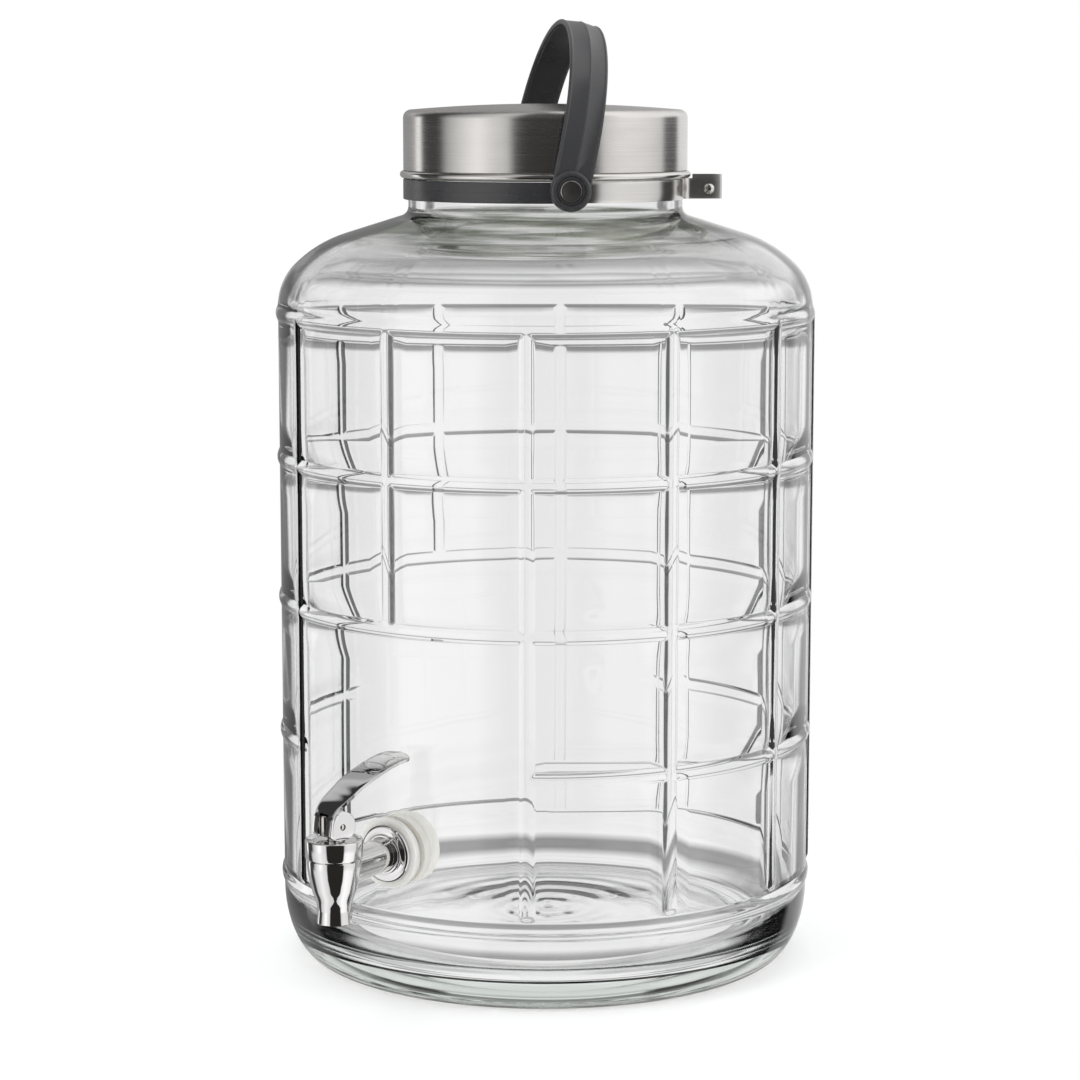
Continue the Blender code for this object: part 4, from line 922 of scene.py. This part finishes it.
def make_lid(steel, polished, plastic, silicone):
    """The steel shell with its rolled bead, the threaded liner and the gasket."""
    bottom = BAND_TOP + GAP
    bead_top = bottom + 2 * LID_BEAD + GAP
    inner = LID_RADIUS - LID_SHEET
    outline = lid_line() + [(LID_RADIUS, bead_top + 0.0006), (LID_RADIUS, bead_top)]
    outline += [(LID_RADIUS - 0.0003, bead_top - 0.0002), (inner, bead_top - 0.0002)]
    outline += lid_line(LID_SHEET)[::-1]
    shell = spun("lid_cover", outline, LID_FACETS, ON_JAR)
    fit(shell, steel, "lid", "lid_shell")
    roll = arc((LID_RADIUS - 0.0001, bottom + LID_BEAD), LID_BEAD, 88, -90, 14)
    roll += [(inner + 0.0002, bottom), (inner + 0.0002, bead_top - 0.0005)]
    ring = spun("lid_rolled_bead", roll, LID_FACETS, ON_JAR, closed=True)
    fit(ring, polished, "lid", "lid_shell")

    low, high = limits("lid_liner", Z)
    outer = half_width("lid_liner")
    inside = outer - LINER_WALL
    line = [(0, high)]
    line += arc((outer - LINER_ROUND, high - LINER_ROUND), LINER_ROUND, 90, 0, 6)
    line += [(outer, low), (inside, low), (inside, high - LINER_TOP), (0, high - LINER_TOP)]
    liner = spun("lid_inner_cap", line, LINER_FACETS, ON_JAR)
    fit(liner, plastic, "lid", "lid_liner")

    low, high = limits("lid_gasket", Z)
    outer = half_width("lid_gasket")
    inside = outer - GASKET_WIDTH
    start = (outer - GASKET_WIDTH / 2, high)
    line = [start, (outer, high), (outer, low), (inside, low), (inside, high), start]
    line = rounded(line, {corner: GASKET_ROUND for corner in range(1, 5)}, 3)[:-1]
    seal = spun("lid_seal_ring", line, LINER_FACETS, ON_JAR, closed=True)
    fit(seal, silicone, "lid_seal", "lid_gasket")


# Band

def band_line():
    """The band's middle line in plan, from the front ear's hem round to the rear ear."""
    radius = BAND_INNER + BAND_SHEET / 2
    half = EAR_SPACING / 2
    root = math.sqrt(radius ** 2 - half ** 2)
    line = [(EAR_TIP, EAR_HEM - half)]
    for step in range(EAR_CURL_STEPS):
        share = 1 - step / EAR_CURL_STEPS
        line.append((SCREW_X + (EAR_TIP - SCREW_X) * share, EAR_CURL * share ** 2 - half))
    line.append((root, -half))
    for angle in range(6, 356, 2):
        turn = math.radians(-angle)
        line.append((radius * math.cos(turn), radius * math.sin(turn)))
    line += [(root, half), (EAR_TIP - EAR_STEP_BACK, half)]
    bends = {1: EAR_HEM_ROUND, EAR_CURL_STEPS + 1: EAR_BEND, len(line) - 2: EAR_BEND}
    return rounded(line, bends, 8)


def make_band(material):
    """The clamp band: a strip drawn in plan, pulled up, thickened and trimmed at the lid."""
    band = drawn("clamp_band", [(x, y, BAND_BOTTOM) for x, y in band_line()])
    for _ in range(3):
        pull((0, 0, EAR_HEIGHT / 3))
    bpy.ops.object.mode_set(mode="OBJECT")
    settle(band, at_azimuth(90))
    apply_modifier(band, "SOLIDIFY", thickness=BAND_SHEET, offset=0, use_even_offset=True)
    lid_room = LID_RADIUS + LID_BEAD + 3 * GAP
    above_band = (0, JAR_Y, BAND_TOP + 0.005)
    cut(band, drum(lid_room, 0.01, vertices=LID_FACETS, location=above_band))
    screw = (SCREW_X, JAR_Y, SCREW_HEIGHT)
    cut(band, drum(SCREW_BORE, 0.02, location=screw, rotation=(math.pi / 2, 0, 0)))
    soften(band, EDGE_SOFTNESS, 2, 50)
    fit(band, material, "base", "neck_band", angle=40)


def make_sleeve(material):
    """The plastic sleeve over the left half of the band, with its parting line."""
    outer = SLEEVE_INNER + SLEEVE_SHEET
    centre = outer - SLEEVE_ROUND
    middle_height = (SLEEVE_BOTTOM + BAND_TOP) / 2
    line = [(SLEEVE_INNER, BAND_TOP)]
    line += arc((centre, BAND_TOP - SLEEVE_ROUND), SLEEVE_ROUND, 90, 0, 4)
    for step in (1, 0, -1):
        depth = 0 if step else SLEEVE_GROOVE
        line.append((outer - depth, middle_height + step * SLEEVE_GROOVE))
    line += arc((centre, SLEEVE_BOTTOM + SLEEVE_ROUND), SLEEVE_ROUND, 0, -90, 4)
    line += [(SLEEVE_INNER, SLEEVE_BOTTOM)]
    sleeve = drawn("band_cover", [(radius, 0, height) for radius, height in line])
    bpy.ops.mesh.edge_face_add()
    spin(SLEEVE_STEPS, -SLEEVE_SWEEP)
    close_shell()
    settle(sleeve, at_azimuth(SLEEVE_START))
    soften(sleeve, 0.0001, 1, 60)
    fit(sleeve, material, "base", "band_sleeve")


def make_clamp(material):
    """The domed screw through both ears and the nut behind the rear one."""
    axis = Matrix.Translation((SCREW_X, JAR_Y, SCREW_HEIGHT)) @ Matrix.Rotation(
        math.radians(90), 4, "X"
    )
    face = EAR_SPACING / 2 + BAND_SHEET / 2 + GAP
    end = -face - SCREW_TAIL
    ball = (SCREW_DOME_RADIUS ** 2 + SCREW_DOME_RISE ** 2) / (2 * SCREW_DOME_RISE)
    edge = math.degrees(math.asin(SCREW_DOME_RADIUS / ball))
    line = arc((0, face + SCREW_DOME_RISE - ball), ball, 90, 90 - edge, 10)
    line += [(SCREW_DOME_RADIUS - 0.0001, face), (SCREW_SHANK, face), (SCREW_SHANK, end), (0, end)]
    screw = spun("clamp_bolt", line, SCREW_FACETS, axis)
    fit(screw, material, "base", "clamp_screw")
    behind = axis @ Matrix.Translation((0, 0, -face - NUT_THICKNESS / 2))
    nut = drum(NUT_RADIUS, NUT_THICKNESS, behind, 6)
    nut.name = nut.data.name = "clamp_hex_nut"
    cut(nut, drum(SCREW_BORE, 0.006, behind))
    soften(nut, 0.0002, 2, 40)
    fit(nut, material, "base", "clamp_nut")


# Handle

def strap_section():
    """The strap's rims, its shallow inner channel and the fine ridge along its outer face."""
    half, deep = STRAP_HALF_WIDTH, STRAP_THICKNESS
    ridge = half * 0.06
    rim = [
        (0.0004, half - 0.0022), (0.0, half - 0.0017), (0.0, half - 0.0007), (0.0006, half),
        (deep - 0.0015, half), (deep - 0.00085, half - 0.0005), (deep - 0.0007, half - 0.0010),
        (deep - 0.00105, half - 0.0016),
    ]
    crest = [(deep - 0.00022, ridge + 0.0005), (deep, ridge + 0.0002)]
    crest += [(deep, ridge - 0.0002), (deep - 0.00022, ridge - 0.0005)]
    return [(0.0004, ridge)] + rim + crest + [(depth, -side) for depth, side in rim[::-1]]


def bail_stations():
    """Places and turns on the strap's inner face, from leg over to leg."""
    reach = BAIL_INNER
    rise = BAIL_INNER - BAIL_LEG_RISE
    stations = [(reach, 0, 0.0, 1, 1)]
    for step in range(BAIL_STEPS + 1):
        angle = math.pi * step / BAIL_STEPS
        out = math.atan2(reach * math.sin(angle), rise * math.cos(angle))
        place = (reach * math.cos(angle), BAIL_LEG_RISE + rise * math.sin(angle))
        stations.append((*place, -out, 1, 1))
    stations.append((-reach, 0, -math.pi, 1, 1))
    return stations


def pivot_frame(side):
    """The frame of the handle's front or back pivot, with Z pointing outwards."""
    return ON_BAIL @ Matrix.Rotation(math.radians(90 * side), 4, "Y")


def boss_line():
    """The boss from its well over the raised ring and the rounded edge to its root."""
    face, well = BOSS_FACE, BOSS_WELL_RADIUS
    line = [(BOSS_BORE, face - BOSS_WELL_DEPTH), (well, face - BOSS_WELL_DEPTH)]
    line += [(well, face - 0.0003), (well + 0.0002, face - 0.0001)]
    line += [(well + 0.0006, face - 0.0001), (well + 0.0008, face - 0.0004)]
    line += arc((well + 0.00125, face - 0.0005), 0.0004, 180, 360, 4)
    line += [(well + 0.00175, face - 0.0001), (well + 0.0022, face)]
    line += arc((BOSS_RADIUS - BOSS_ROUND, face - BOSS_ROUND), BOSS_ROUND, 90, 0, 8)
    line += [(BOSS_RADIUS, BAIL_INNER + 0.0001), (BOSS_CORE_RADIUS, BAIL_INNER + 0.0001)]
    return line + [(BOSS_CORE_RADIUS, BOSS_ROOT), (BOSS_BORE, BOSS_ROOT)]


def make_handle(material):
    """The strap with a round boss at each end."""
    strap = swept("handle_strap", strap_section(), bail_stations(), ON_BAIL)
    soften(strap, EDGE_SOFTNESS, 2, 30)
    for side in (1, -1):
        outward = pivot_frame(side)
        in_strap = outward @ Matrix.Translation((0, 0, BAIL_INNER + STRAP_THICKNESS / 2))
        cut(strap, drum(BOSS_ROOM, BOSS_ROOM_DEPTH, in_strap, CUP_FACETS))
        cut(strap, spun("boss", boss_line(), TAP_FACETS, outward, closed=True), "UNION")
    fit(strap, material, "handle", "handle_bail", angle=30)


def make_buttons(material):
    """The spun metal button in each boss, slightly dished."""
    top = BUTTON_START + BUTTON_THICKNESS
    line = []
    for step in range(5):
        share = step / 4
        line.append((BUTTON_DISH_RADIUS * share, top - BUTTON_DISH * (1 - share ** 2)))
    line += [(BUTTON_DISH_RADIUS + 0.0005, top), (BUTTON_RADIUS, top - 0.0005)]
    line += [(BUTTON_RADIUS, BUTTON_START), (0, BUTTON_START)]
    for side, name in ((1, "front"), (-1, "back")):
        button = spun("pivot_button_" + name, line, BUTTON_FACETS, pivot_frame(side))
        fit(button, material, "base", "handle_button_" + name)


# Tap

def make_tap_body(material):
    """The tap's upright body with its waist, its open nozzle and the neck in the collar."""
    seam = BONNET_BOTTOM - GAP
    length = seam - NOZZLE_HEIGHT
    shape = [(TAP_SEAM_RADIUS, seam - 0.0004)]
    shape += [(radius, NOZZLE_HEIGHT + length * share) for radius, share in TAP_SHAPE]
    shape += [(NOZZLE_RADIUS, NOZZLE_HEIGHT + 0.0003)]
    line = [(0, seam + TAP_NECK_RISE), (TAP_NECK_RADIUS, seam + TAP_NECK_RISE)]
    line += [(TAP_NECK_RADIUS, seam), (TAP_SEAM_RADIUS - 0.0004, seam)]
    line += smooth_line(shape, 5)
    line += [(NOZZLE_RADIUS - 0.0002, NOZZLE_HEIGHT), (NOZZLE_BORE + 0.0008, NOZZLE_HEIGHT)]
    line += [(NOZZLE_BORE + 0.0004, NOZZLE_HEIGHT + 0.0006)]
    line += [(NOZZLE_BORE, NOZZLE_HEIGHT + 0.0012)]
    line += [(NOZZLE_BORE, NOZZLE_HEIGHT + NOZZLE_BORE_DEPTH)]
    line += [(0.0, NOZZLE_HEIGHT + NOZZLE_BORE_DEPTH)]
    body = spun("tap_body", line, TAP_FACETS, ON_SPIGOT)
    fit(body, material, "base", "faucet_body")


def make_tap_barrel(material):
    """The barrel between body and jar, with its flange and the shank through the wall."""
    flange_end = FLANGE_START + FLANGE_THICKNESS
    step_end = flange_end + FLANGE_STEP
    line = [(0, BARREL_END), (BARREL_RADIUS, BARREL_END), (BARREL_RADIUS, step_end + 0.0003)]
    line += [(BARREL_RADIUS + 0.0003, step_end)]
    line += arc((FLANGE_STEP_RADIUS, step_end - 0.0003), 0.0003, 90, 0, 3)
    line += [(FLANGE_STEP_RADIUS + 0.0004, flange_end + 0.0001)]
    line += [(FLANGE_STEP_RADIUS + 0.0010, flange_end - 0.0001)]
    line += arc((FLANGE_RADIUS - 0.0016, flange_end - 0.0016), 0.0016, 100, 0, 8)
    line += [(FLANGE_RADIUS, FLANGE_START), (SHANK_RADIUS, FLANGE_START)]
    line += [(SHANK_RADIUS, SHANK_END + 0.0004), (SHANK_RADIUS - 0.0004, SHANK_END)]
    line += [(SHANK_BORE, SHANK_END), (SHANK_BORE, SHANK_END + 0.03), (0, SHANK_END + 0.03)]
    barrel = spun("tap_barrel", line, TAP_FACETS, ON_BARREL)
    fit(barrel, material, "base", "faucet_body")


def make_tap_collar(material):
    """The collar on the body: a rim with a shallow dish, and a hole for the stem."""
    top, low = BONNET_TOP, BONNET_BOTTOM
    outer, dish = COLLAR_RADIUS, top - COLLAR_DISH
    line = [(STEM_PASS, dish), (outer - 0.00295, dish), (outer - 0.00195, top - 0.0002)]
    line += arc((outer - 0.00065, top - 0.0007), 0.0007, 100, 0, 6)
    line += [(outer, low + 0.0006), (outer - 0.00025, low + 0.0001), (outer - 0.00065, low)]
    line += [(COLLAR_BORE, low), (COLLAR_BORE, top - COLLAR_CEILING)]
    line += [(STEM_PASS, top - COLLAR_CEILING)]
    collar = spun("tap_collar", line, TAP_FACETS, ON_SPIGOT, closed=True)
    fit(collar, material, "base", "faucet_bonnet", angle=30)


def lever_stations():
    """Places on the blade's upper face with its turn, width and thickness."""
    curve = [(LEVER_REACH * forward, LEVER_RISE * up) for forward, up in BLADE_SHARES]
    curve = smooth_line(curve, 6)
    lengths = [0.0]
    for before, after in zip(curve, curve[1:]):
        lengths.append(lengths[-1] + (Vector(after) - Vector(before)).length)
    total = lengths[-1]
    stations = []
    for index, (x, z) in enumerate(curve):
        before = Vector(curve[max(index - 1, 0)])
        after = Vector(curve[min(index + 1, len(curve) - 1)])
        ahead = after - before
        heading = math.atan2(ahead.y, ahead.x)
        share = lengths[index] / total
        flare = 1 + BLADE_FLARE * ease(share / BLADE_FLARE_END)
        left = min((total - lengths[index]) / TIP_LENGTH, 1)
        wide = flare * max(1 - (1 - left) ** 2.6, 0.08) ** 0.42
        stations.append((x, z, math.pi / 2 - heading, wide, 1 - BLADE_TAPER * share))
    return stations


def blade_section():
    """The blade's section: a crowned upper face, rounded sides and a flat underside."""
    half, deep = LEVER_HALF_WIDTH, BLADE_THICKNESS
    upper = [(0.0005 * (step / 6) ** 2, half * 0.93 * (step / 6)) for step in range(-6, 7)]
    side = [(0.0008, half), (deep - 0.0003, half - 0.0006), (deep, half - 0.001)]
    return upper + side + [(deep, 0.0)] + [(depth, -width) for depth, width in side[::-1]]


def cheek_line():
    """A cheek's outline: the cam, whose reach grows as the lever tilts, and a round top."""
    outline = []
    for step in range(11):
        turn = math.radians(CAM_ANGLE * (1 - step / 10))
        reach = CAM_HEIGHT + CAM_RATE * turn
        angle = -math.pi / 2 - turn
        outline.append((
            reach * math.cos(angle) + CAM_RATE * math.sin(angle),
            reach * math.sin(angle) - CAM_RATE * math.cos(angle),
        ))
    low_angle = -math.degrees(math.asin(CAM_HEIGHT / CHEEK_RADIUS))
    return outline + arc((0, 0), CHEEK_RADIUS, low_angle, 150, 40)


def make_lever(material):
    """The lever: a curved blade with a round tip, and two cam cheeks beside the stem."""
    blade = swept("tap_lever", blade_section(), lever_stations(), ON_LEVER)
    cheeks = slab("cheeks", cheek_line(), LEVER_HALF_WIDTH - 0.0002, ON_LEVER)
    soften(cheeks, 0.0004, 3, 50)
    cut(blade, cheeks, "UNION")
    line = [(-0.012, -0.012), (SLOT_RADIUS, -0.012), (SLOT_RADIUS, 0.0)]
    line += arc((0, 0), SLOT_RADIUS, 10, 90, 8) + [(-0.003, 0.0056), (-0.012, 0.0062)]
    cut(blade, slab("slot", line, SLOT_HALF_WIDTH, ON_LEVER))
    cut(blade, drum(LEVER_PIN_BORE, 0.02, ON_LEVER, rotation=(math.pi / 2, 0, 0)))
    fit(blade, material, "lever", "faucet_lever", angle=32)


def washer(name, start, end, corners, steps):
    """A ring on the shank, with some of its corners rounded."""
    line = [(SEAL_BORE, start), (SEAL_RADIUS, start), (SEAL_RADIUS, end), (SEAL_BORE, end)]
    return spun(name, rounded(line, corners, steps), TAP_FACETS, ON_BARREL, closed=True)


def make_seals(silicone, plastic):
    """The washers on both sides of the glass and the nut on the shank."""
    glass = BODY_RADIUS + GAP
    outer = washer("seal_outside", FLANGE_START - GAP, glass - SEAL_RELIEF, {1: 0.0008}, 5)
    at_tap = (0, JAR_Y, SPIGOT_HEIGHT)
    cut(outer, drum(glass, 0.06, vertices=WALL_CUT_FACETS, location=at_tap))
    fit(outer, silicone, "base", "outer_washer")
    glass = BODY_RADIUS - WALL - GAP
    inner_end = glass - INNER_SEAL_THICKNESS
    inner = washer("seal_inside", glass, inner_end, {2: 0.0007}, 4)
    cut(inner, drum(glass, 0.06, vertices=WALL_CUT_FACETS, location=at_tap), "INTERSECT")
    fit(inner, silicone, "base", "inner_washer")
    nut = washer("shank_ring_nut", inner_end - GAP, SHANK_END, {1: 0.0006, 2: 0.0012}, 4)
    fit(nut, plastic, "base", "shank_nut")


def make_seat_cup(material):
    """The cup that closes the outlet, with room in its pocket for the stem's foot to rise."""
    low, high = CUP_BOTTOM, CUP_TOP
    bell = low + (high - low) * CUP_BELL_SHARE
    pocket = low + CUP_POCKET_DEPTH
    lip, rim = pocket + CUP_LIP, high - CUP_RIM
    line = [(0, low + CUP_FLOOR), (CUP_POCKET_RADIUS, low + CUP_FLOOR)]
    line += [(CUP_POCKET_RADIUS, pocket), (CUP_LIP_RADIUS, pocket), (CUP_LIP_RADIUS, lip)]
    line += [(CUP_INNER, lip), (CUP_INNER, bell), (CUP_OUTER, high)]
    line += [(CUP_RIM_RADIUS - 0.0002, high), (CUP_RIM_RADIUS, high - 0.0002)]
    line += [(CUP_RIM_RADIUS, rim), (CUP_OUTER + 0.0014, rim), (CUP_OUTER, bell)]
    line += [(CUP_OUTER, lip), (CUP_PLUG_RADIUS, pocket), (CUP_PLUG_RADIUS, low + 0.0004)]
    line += [(CUP_PLUG_RADIUS - 0.0004, low), (0, low)]
    cup = spun("outlet_cup", line, CUP_FACETS, ON_SPIGOT)
    fit(cup, material, "base", "seat_cup", angle=30)


def make_lever_pin(material):
    """The pin through both cheeks and the stem, with domed ends."""
    half = LEVER_HALF_WIDTH - 0.0001
    dome = [(0, half), (0.0007, half - 0.0001), (LEVER_PIN_RADIUS, half - 0.0004)]
    line = dome + [(radius, -height) for radius, height in dome[::-1]]
    across = ON_LEVER @ Matrix.Rotation(math.pi / 2, 4, "X")
    pin = spun("lever_cross_pin", line, PIN_FACETS, across)
    fit(pin, material, "valve", "lever_pin")


# Studio

def panorama(tree, source, stops, upright=False):
    """Brightness by azimuth, from -180 to 180 degrees, or by height over the horizon."""
    ramp = tree.nodes.new("ShaderNodeValToRGB")
    elements = ramp.color_ramp.elements
    while len(elements) > 1:
        elements.remove(elements[-1])
    for number, (angle, level) in enumerate(stops):
        if upright:
            place = (math.sin(math.radians(angle)) + 1) / 2
        else:
            place = (angle + 180) / 360
        element = elements[0] if number == 0 else elements.new(place)
        element.position = place
        element.color = (level, level, level, 1)
    connect(tree, ramp, {"Fac": source})
    return ramp.outputs["Color"]


def seen_in_mirrors(tree, azimuth, around, upward):
    """Windows and dark screens round the object, with a dark strip in front of it."""
    level = panorama(tree, around, (
        (-180, 0.3), (-140, 0.35), (-131, 0.5), (-127, 1.3), (-121, 1.3), (-118, 0.07), (-94, 0.05),
        (-86, 0.55), (-70, 1.0), (-56, 1.35), (-42, 0.9), (-25, 0.75), (25, 0.75), (48, 0.8),
        (60, 0.95), (92, 0.9), (108, 0.75), (113, 0.05), (131, 0.05), (137, 0.9), (180, 0.8),
    ))
    below = panorama(tree, around, (
        (-180, 0.4), (-126, 0.45), (-120, 0.05), (-103, 0.05), (-94, 0.7), (-60, 1.1), (-25, 0.8),
        (25, 0.8), (60, 1.25), (90, 1.1), (98, 0.7), (102, 0.04), (133, 0.04), (139, 0.6), (180, 0.5),
    ))
    overhead = panorama(tree, around, (
        (-180, 0.35), (-152, 0.4), (-146, 0.6), (-138, 0.5), (-132, 0.04), (-98, 0.04),
        (-88, 0.35), (-66, 0.6), (-40, 0.8), (-28, 0.5), (-20, 0.08), (36, 0.08), (48, 0.7),
        (70, 1.2), (110, 1.2), (150, 1.0), (168, 0.6), (180, 0.35),
    ))
    level = choose(tree, spread(tree, upward, 0, 1, -0.28, -0.38), level, below)
    reach = reckon(tree, "POWER", spread(tree, upward, 0, 1, -0.84, -0.57), 0.5)
    width = reckon(tree, "MULTIPLY", reach, math.radians(STRIP_HALF_WIDTH))
    aside = reckon(tree, "SUBTRACT", azimuth, math.radians(STRIP_AZIMUTH))
    beside = reckon(tree, "DIVIDE", reckon(tree, "ABSOLUTE", aside), width)
    strip = (0.025, 0.023, 0.022, 1)
    level = choose(tree, spread(tree, beside, 0, 1, 1.07, 0.93), level, strip)
    mirror = choose(tree, spread(tree, upward, 0, 1, 0.1, 0.24), level, overhead)
    ground = (0.06, 0.06, 0.06, 1)
    return choose(tree, spread(tree, upward, 0, 1, -0.93, -0.97), mirror, ground)


def seen_through_glass(tree, around, upward):
    """A bright field behind the glass, with dark screens that draw its edges."""
    through = panorama(tree, around, (
        (-180, 0.9), (-166, 0.9), (-164, 0.1), (-153, 0.1), (-148, 0.95), (-112, 0.9),
        (-102, 0.06), (-80, 0.06), (-72, 0.95), (-30, 1.0), (-18, 0.35), (18, 0.35), (30, 1.0),
        (72, 0.95), (80, 0.06), (102, 0.06), (112, 0.9), (148, 0.95), (153, 0.1), (164, 0.1),
        (166, 0.9), (180, 0.9),
    ))
    below = panorama(tree, around, (
        (-180, 1.0), (-170, 1.0), (-160, 0.6), (-130, 0.6), (-114, 0.9), (-60, 0.9), (0, 0.6),
        (60, 0.9), (114, 0.9), (130, 0.6), (160, 0.6), (170, 1.0), (180, 1.0),
    ))
    bands = panorama(tree, spread(tree, upward, 0, 1, -1, 1), (
        (-90, 0.8), (-46, 0.95), (-36, 0.9), (-31, 0.3), (-26, 0.3), (-22, 1.0), (1, 1.0),
        (4, 0.35), (11, 0.25), (16, 0.9), (28, 0.85), (38, 0.75), (55, 0.45), (90, 0.3),
    ), upright=True)
    above = (0.95, 0.95, 0.95, 1)
    through = choose(tree, spread(tree, upward, 0, 1, 0.1, 0.2), through, above)
    through = choose(tree, spread(tree, upward, 0, 1, -0.34, -0.44), through, below)
    return add(tree, "VectorMath", {0: through, 1: bands}, operation="MULTIPLY")


def make_world():
    """White behind the object; mirrors and glass also see a studio's bright and dark sides."""
    world = bpy.data.worlds.new("studio")
    bpy.context.scene.world = world
    world.use_nodes = True
    tree = world.node_tree
    tree.nodes.clear()
    place = add(tree, "TexCoord", {}, "Generated")
    way = add(tree, "SeparateXYZ", {0: place}).node.outputs
    azimuth = reckon(tree, "ARCTAN2", way["X"], reckon(tree, "MULTIPLY", way["Y"], -1))
    around = spread(tree, azimuth, 0, 1, -math.pi, math.pi)
    mirror = seen_in_mirrors(tree, azimuth, around, way["Z"])
    through = seen_through_glass(tree, around, way["Z"])
    path = add(tree, "LightPath", {}).node.outputs
    bounced = reckon(tree, "GREATER_THAN", path["Diffuse Depth"], 0.5)
    through = choose(tree, bounced, through, LIT_THROUGH_GLASS)
    colour = choose(tree, path["Is Glossy Ray"], AMBIENT, mirror)
    colour = choose(tree, path["Is Transmission Ray"], colour, through)
    colour = choose(tree, path["Is Camera Ray"], colour, (1, 1, 1, 1))
    background = add(tree, "Background", {"Color": colour})
    connect(tree, tree.nodes.new("ShaderNodeOutputWorld"), {0: background})


def make_floor():
    """A pale disc that keeps the object's shadow and fades into the white around it."""
    bpy.ops.object.select_all(action="DESELECT")
    bpy.ops.mesh.primitive_circle_add(
        vertices=128, radius=FLOOR_RADIUS, fill_type="NGON", location=ON_AXIS
    )
    floor = bpy.context.object
    settle(floor)
    floor.name = "floor"
    material, tree, shader = new_finish(
        "floor_white", (0.92, 0.92, 0.92), 0.9, Specular_IOR_Level=0.0,
        Emission_Color=(1, 1, 1, 1), Emission_Strength=0.12,
    )
    away = add(
        tree, "VectorMath", {0: own_place(tree), 1: ON_AXIS}, "Value", operation="DISTANCE"
    )
    edge = {"Value": away, "From Min": FLOOR_RADIUS * 0.55, "From Max": FLOOR_RADIUS * 0.98}
    fade = add(tree, "MapRange", edge, interpolation_type="SMOOTHSTEP")
    clear = add(tree, "BsdfTransparent", {})
    surface = add(tree, "MixShader", {0: fade, 1: shader.outputs[0], 2: clear})
    connect(tree, tree.nodes["Material Output"], {"Surface": surface})
    floor.data.materials.append(material)
    floor.visible_glossy = False
    floor.visible_transmission = False


def make_lamp(name, place, size, power):
    """A soft box that looks at the middle of the object, and that no mirror shows."""
    data = bpy.data.lights.new(name, "AREA")
    data.shape = "RECTANGLE"
    data.size, data.size_y = size
    data.energy = power
    lamp = bpy.data.objects.new(name, data)
    bpy.context.scene.collection.objects.link(lamp)
    lamp.location = place
    lamp.rotation_euler = (LAMP_TARGET - Vector(place)).to_track_quat("-Z", "Y").to_euler()
    lamp.visible_glossy = False
    lamp.visible_transmission = False
    lamp.visible_camera = False


def make_camera():
    """The camera at the photograph's viewing angle."""
    data = bpy.data.cameras.new("camera")
    data.sensor_width = 36
    data.lens = FOCAL_LENGTH
    data.clip_start, data.clip_end = 0.05, 200
    camera = bpy.data.objects.new("camera", data)
    bpy.context.scene.collection.objects.link(camera)
    camera.location = CAMERA_PLACE
    camera.rotation_euler = (math.radians(90 - CAMERA_DIP), 0, 0)
    bpy.context.scene.camera = camera


clear_glass = make_glass()
brushed_steel = make_brushed_steel()
polished_steel = make_polished_steel()
band_steel = make_band_steel()
spun_steel = make_spun_steel()
chrome = make_chrome()
grey_plastic = make_moulded(
    "grey_plastic", (0.042, 0.042, 0.044),
    tones=((0.041, 0.041, 0.043), (0.047, 0.047, 0.049)), gloss=(0.25, 0.31),
    flow=(0.018, 0.018, 0.03), grain=0.0005, depth=0.000025,
)
white_silicone = make_moulded(
    "white_silicone", (0.86, 0.85, 0.80),
    tones=((0.84, 0.825, 0.775), (0.88, 0.87, 0.83)), gloss=(0.3, 0.48),
    flow=(0.006, 0.006, 0.006), grain=0.0005, depth=0.00002,
    Subsurface_Weight=0.6, Subsurface_Radius=(1.0, 0.9, 0.75), Subsurface_Scale=0.004,
)
white_plastic = make_moulded(
    "white_plastic", (0.86, 0.85, 0.82),
    tones=((0.83, 0.82, 0.79), (0.88, 0.87, 0.84)), gloss=(0.28, 0.42),
    flow=(0.01, 0.01, 0.01), grain=0.0004, depth=0.00002,
)

make_jar(clear_glass)
make_lid(brushed_steel, polished_steel, white_plastic, white_silicone)
make_band(band_steel)
make_sleeve(grey_plastic)
make_clamp(polished_steel)
make_handle(grey_plastic)
make_buttons(spun_steel)
make_tap_body(chrome)
make_tap_barrel(chrome)
make_tap_collar(chrome)
make_lever(chrome)
make_lever_pin(polished_steel)
make_seat_cup(white_silicone)
make_seals(white_silicone, white_plastic)

for node, material in (
    ("handle_pin_front", polished_steel), ("handle_pin_back", polished_steel),
    ("pivot_washer_front", white_plastic), ("pivot_washer_back", white_plastic),
    ("valve_stem", polished_steel),
):
    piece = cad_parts[node]
    piece.data.materials.clear()
    piece.data.materials.append(material)

make_world()
make_floor()
make_lamp("left_box", (-1.1, -1.2, 1.1), (0.9, 1.3), 9.0)
make_lamp("right_box", (1.4, -0.7, 0.9), (0.8, 1.2), 6.0)
make_lamp("top_box", (0.0, 0.3, 1.7), (1.2, 1.2), 7.0)
make_camera()

scene = bpy.context.scene
scene.view_settings.view_transform = "Standard"
